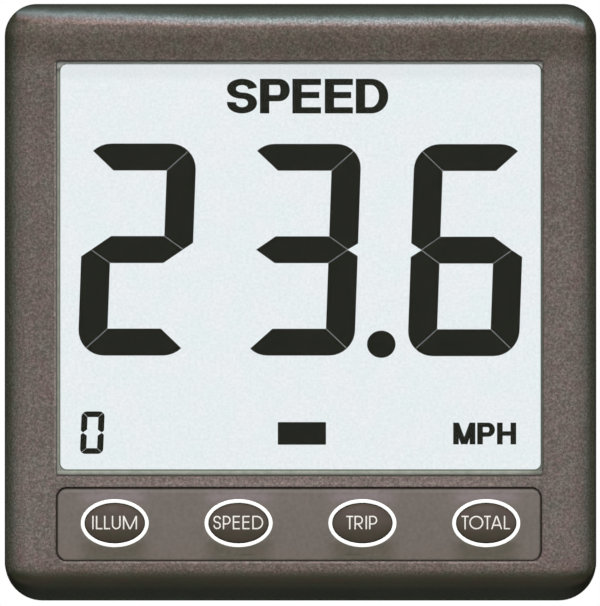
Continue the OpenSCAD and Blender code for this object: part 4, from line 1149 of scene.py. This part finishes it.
def socket():
    """The transducer's socket: a threaded collar on a knurled flange."""
    b = Builder()
    r, pitch, depth = 6.5, 1.0, 0.34
    low, top, run_out = -30.6, -24.4, 0.4
    edge, knurls, knurl_depth = 8.5, 48, 0.3

    def relief(radius, z, a):
        if radius == edge:
            return radius - knurl_depth * wave(knurls * a / (2 * math.pi))
        held = min(1.0, (z - low) / run_out, (top - z) / run_out) if radius == r and low < z < top else 0.0
        return radius - depth * held * wave(z / pitch + a / (2 * math.pi))

    collar = [(5.35, -31.0), (6.3, -31.0)] + [(r, z) for z in heights(low - 0.2, top, pitch / 6)]
    flange = [(r, -22.15), (6.65, -22.0), (8.2, -22.0), (edge, -21.75), (edge, -20.2), (8.3, -20.0)]
    bore = [(6.0, -20.0), (6.0, -11.5), (4.85, -11.5), (4.85, -24.0), (5.2, -24.0), (5.2, -30.85)]
    b.turned(collar + flange + bore, ENTRY_Y, 192, relief)
    b.make("threaded_socket", "head", "socket_nickel", ["socket_shell"], 35, "thread_nickel")


stud()
gland_cap()
socket()

# Stage


def lamp(name, at, power, w, h, mirrored=True):
    """A soft lamp that is turned to the part."""
    data = bpy.data.lights.new(name, "AREA")
    data.shape = "RECTANGLE"
    data.size, data.size_y = w, h
    data.energy = power
    o = bpy.data.objects.new(name, data)
    bpy.context.scene.collection.objects.link(o)
    o.location = at
    o.rotation_euler = (-Vector(at)).to_track_quat("-Z", "Y").to_euler()
    o.visible_glossy = mirrored


def world():
    """A faint fill light, and white for what is seen straight, in a mirror or through glass."""
    w = bpy.data.worlds.new("studio")
    bpy.context.scene.world = w
    w.use_nodes = True
    t = w.node_tree
    back = next(n for n in t.nodes if n.type == "BACKGROUND")
    back.inputs["Color"].default_value = (0.74, 1.0, 0.84, 1)
    back.inputs["Strength"].default_value = 0.05
    white = t.nodes.new("ShaderNodeBackground")
    white.inputs["Color"].default_value = (1, 1, 1, 1)
    white.inputs["Strength"].default_value = 1.0
    mix = t.nodes.new("ShaderNodeMixShader")
    path = t.nodes.new("ShaderNodeLightPath")
    out = next(n for n in t.nodes if n.type == "OUTPUT_WORLD")
    seen = path.outputs["Is Camera Ray"]
    for name in ("Is Glossy Ray", "Is Transmission Ray"):
        either = t.nodes.new("ShaderNodeMath")
        either.operation = "MAXIMUM"
        t.links.new(seen, either.inputs[0])
        t.links.new(path.outputs[name], either.inputs[1])
        seen = either.outputs[0]
    t.links.new(seen, mix.inputs[0])
    t.links.new(back.outputs[0], mix.inputs[1])
    t.links.new(white.outputs[0], mix.inputs[2])
    t.links.new(mix.outputs[0], out.inputs["Surface"])


def floor():
    b = bmesh.new()
    bmesh.ops.create_grid(b, x_segments=1, y_segments=1, size=0.25)
    mesh = bpy.data.meshes.new("floor")
    b.to_mesh(mesh)
    b.free()
    o = bpy.data.objects.new("floor", mesh)
    bpy.context.scene.collection.objects.link(o)
    o.location = (0, 0, -0.4)
    s = Shader("floor_pale", (0.82, 0.82, 0.81), 0.8)
    s.paint(s.mottle(0.05, 3, (0.80, 0.80, 0.79), (0.84, 0.84, 0.83)))
    pale, both = s.node("ShaderNodeEmission"), s.node("ShaderNodeMixShader")
    s.link(s.times(s.node("ShaderNodeLightPath").outputs["Is Camera Ray"], 0.72), both.inputs[0])
    s.link(s.shader.outputs[0], both.inputs[1])
    s.link(pale.outputs[0], both.inputs[2])
    out = next(n for n in s.tree.nodes if n.type == "OUTPUT_MATERIAL")
    s.link(both.outputs[0], out.inputs["Surface"])
    o.data.materials.append(s.material)


def camera():
    """Straight on from far off. One pixel of the 600 by 606 picture is 0.18587 mm at the plane's depth."""
    pixel, lens, sensor = 0.00018587, 1500.0, 36.0
    left, down = 0.5, 0.6
    plane = 0.019
    far = 600 * pixel * lens / sensor
    data = bpy.data.cameras.new("camera")
    data.sensor_fit = "HORIZONTAL"
    data.sensor_width = sensor
    data.lens = lens
    data.clip_start, data.clip_end = 0.1, 20
    o = bpy.data.objects.new("camera", data)
    bpy.context.scene.collection.objects.link(o)
    o.location = (-left * pixel, -plane - far, -down * pixel)
    o.rotation_euler = (math.pi / 2, 0, 0)
    bpy.context.scene.camera = o


world()
floor()
camera()
lamp("key", (0, -1.65, 0.80), 25, 0.5, 0.34)
lamp("fill", (0, -2.6, 0.30), 25, 0.5, 0.5, False)
for side in (-1, 1):
    lamp("rear", (0.95 * side, 1.6, 0.5), 12, 1.0, 1.0)
bpy.context.scene.view_settings.view_transform = "Standard"
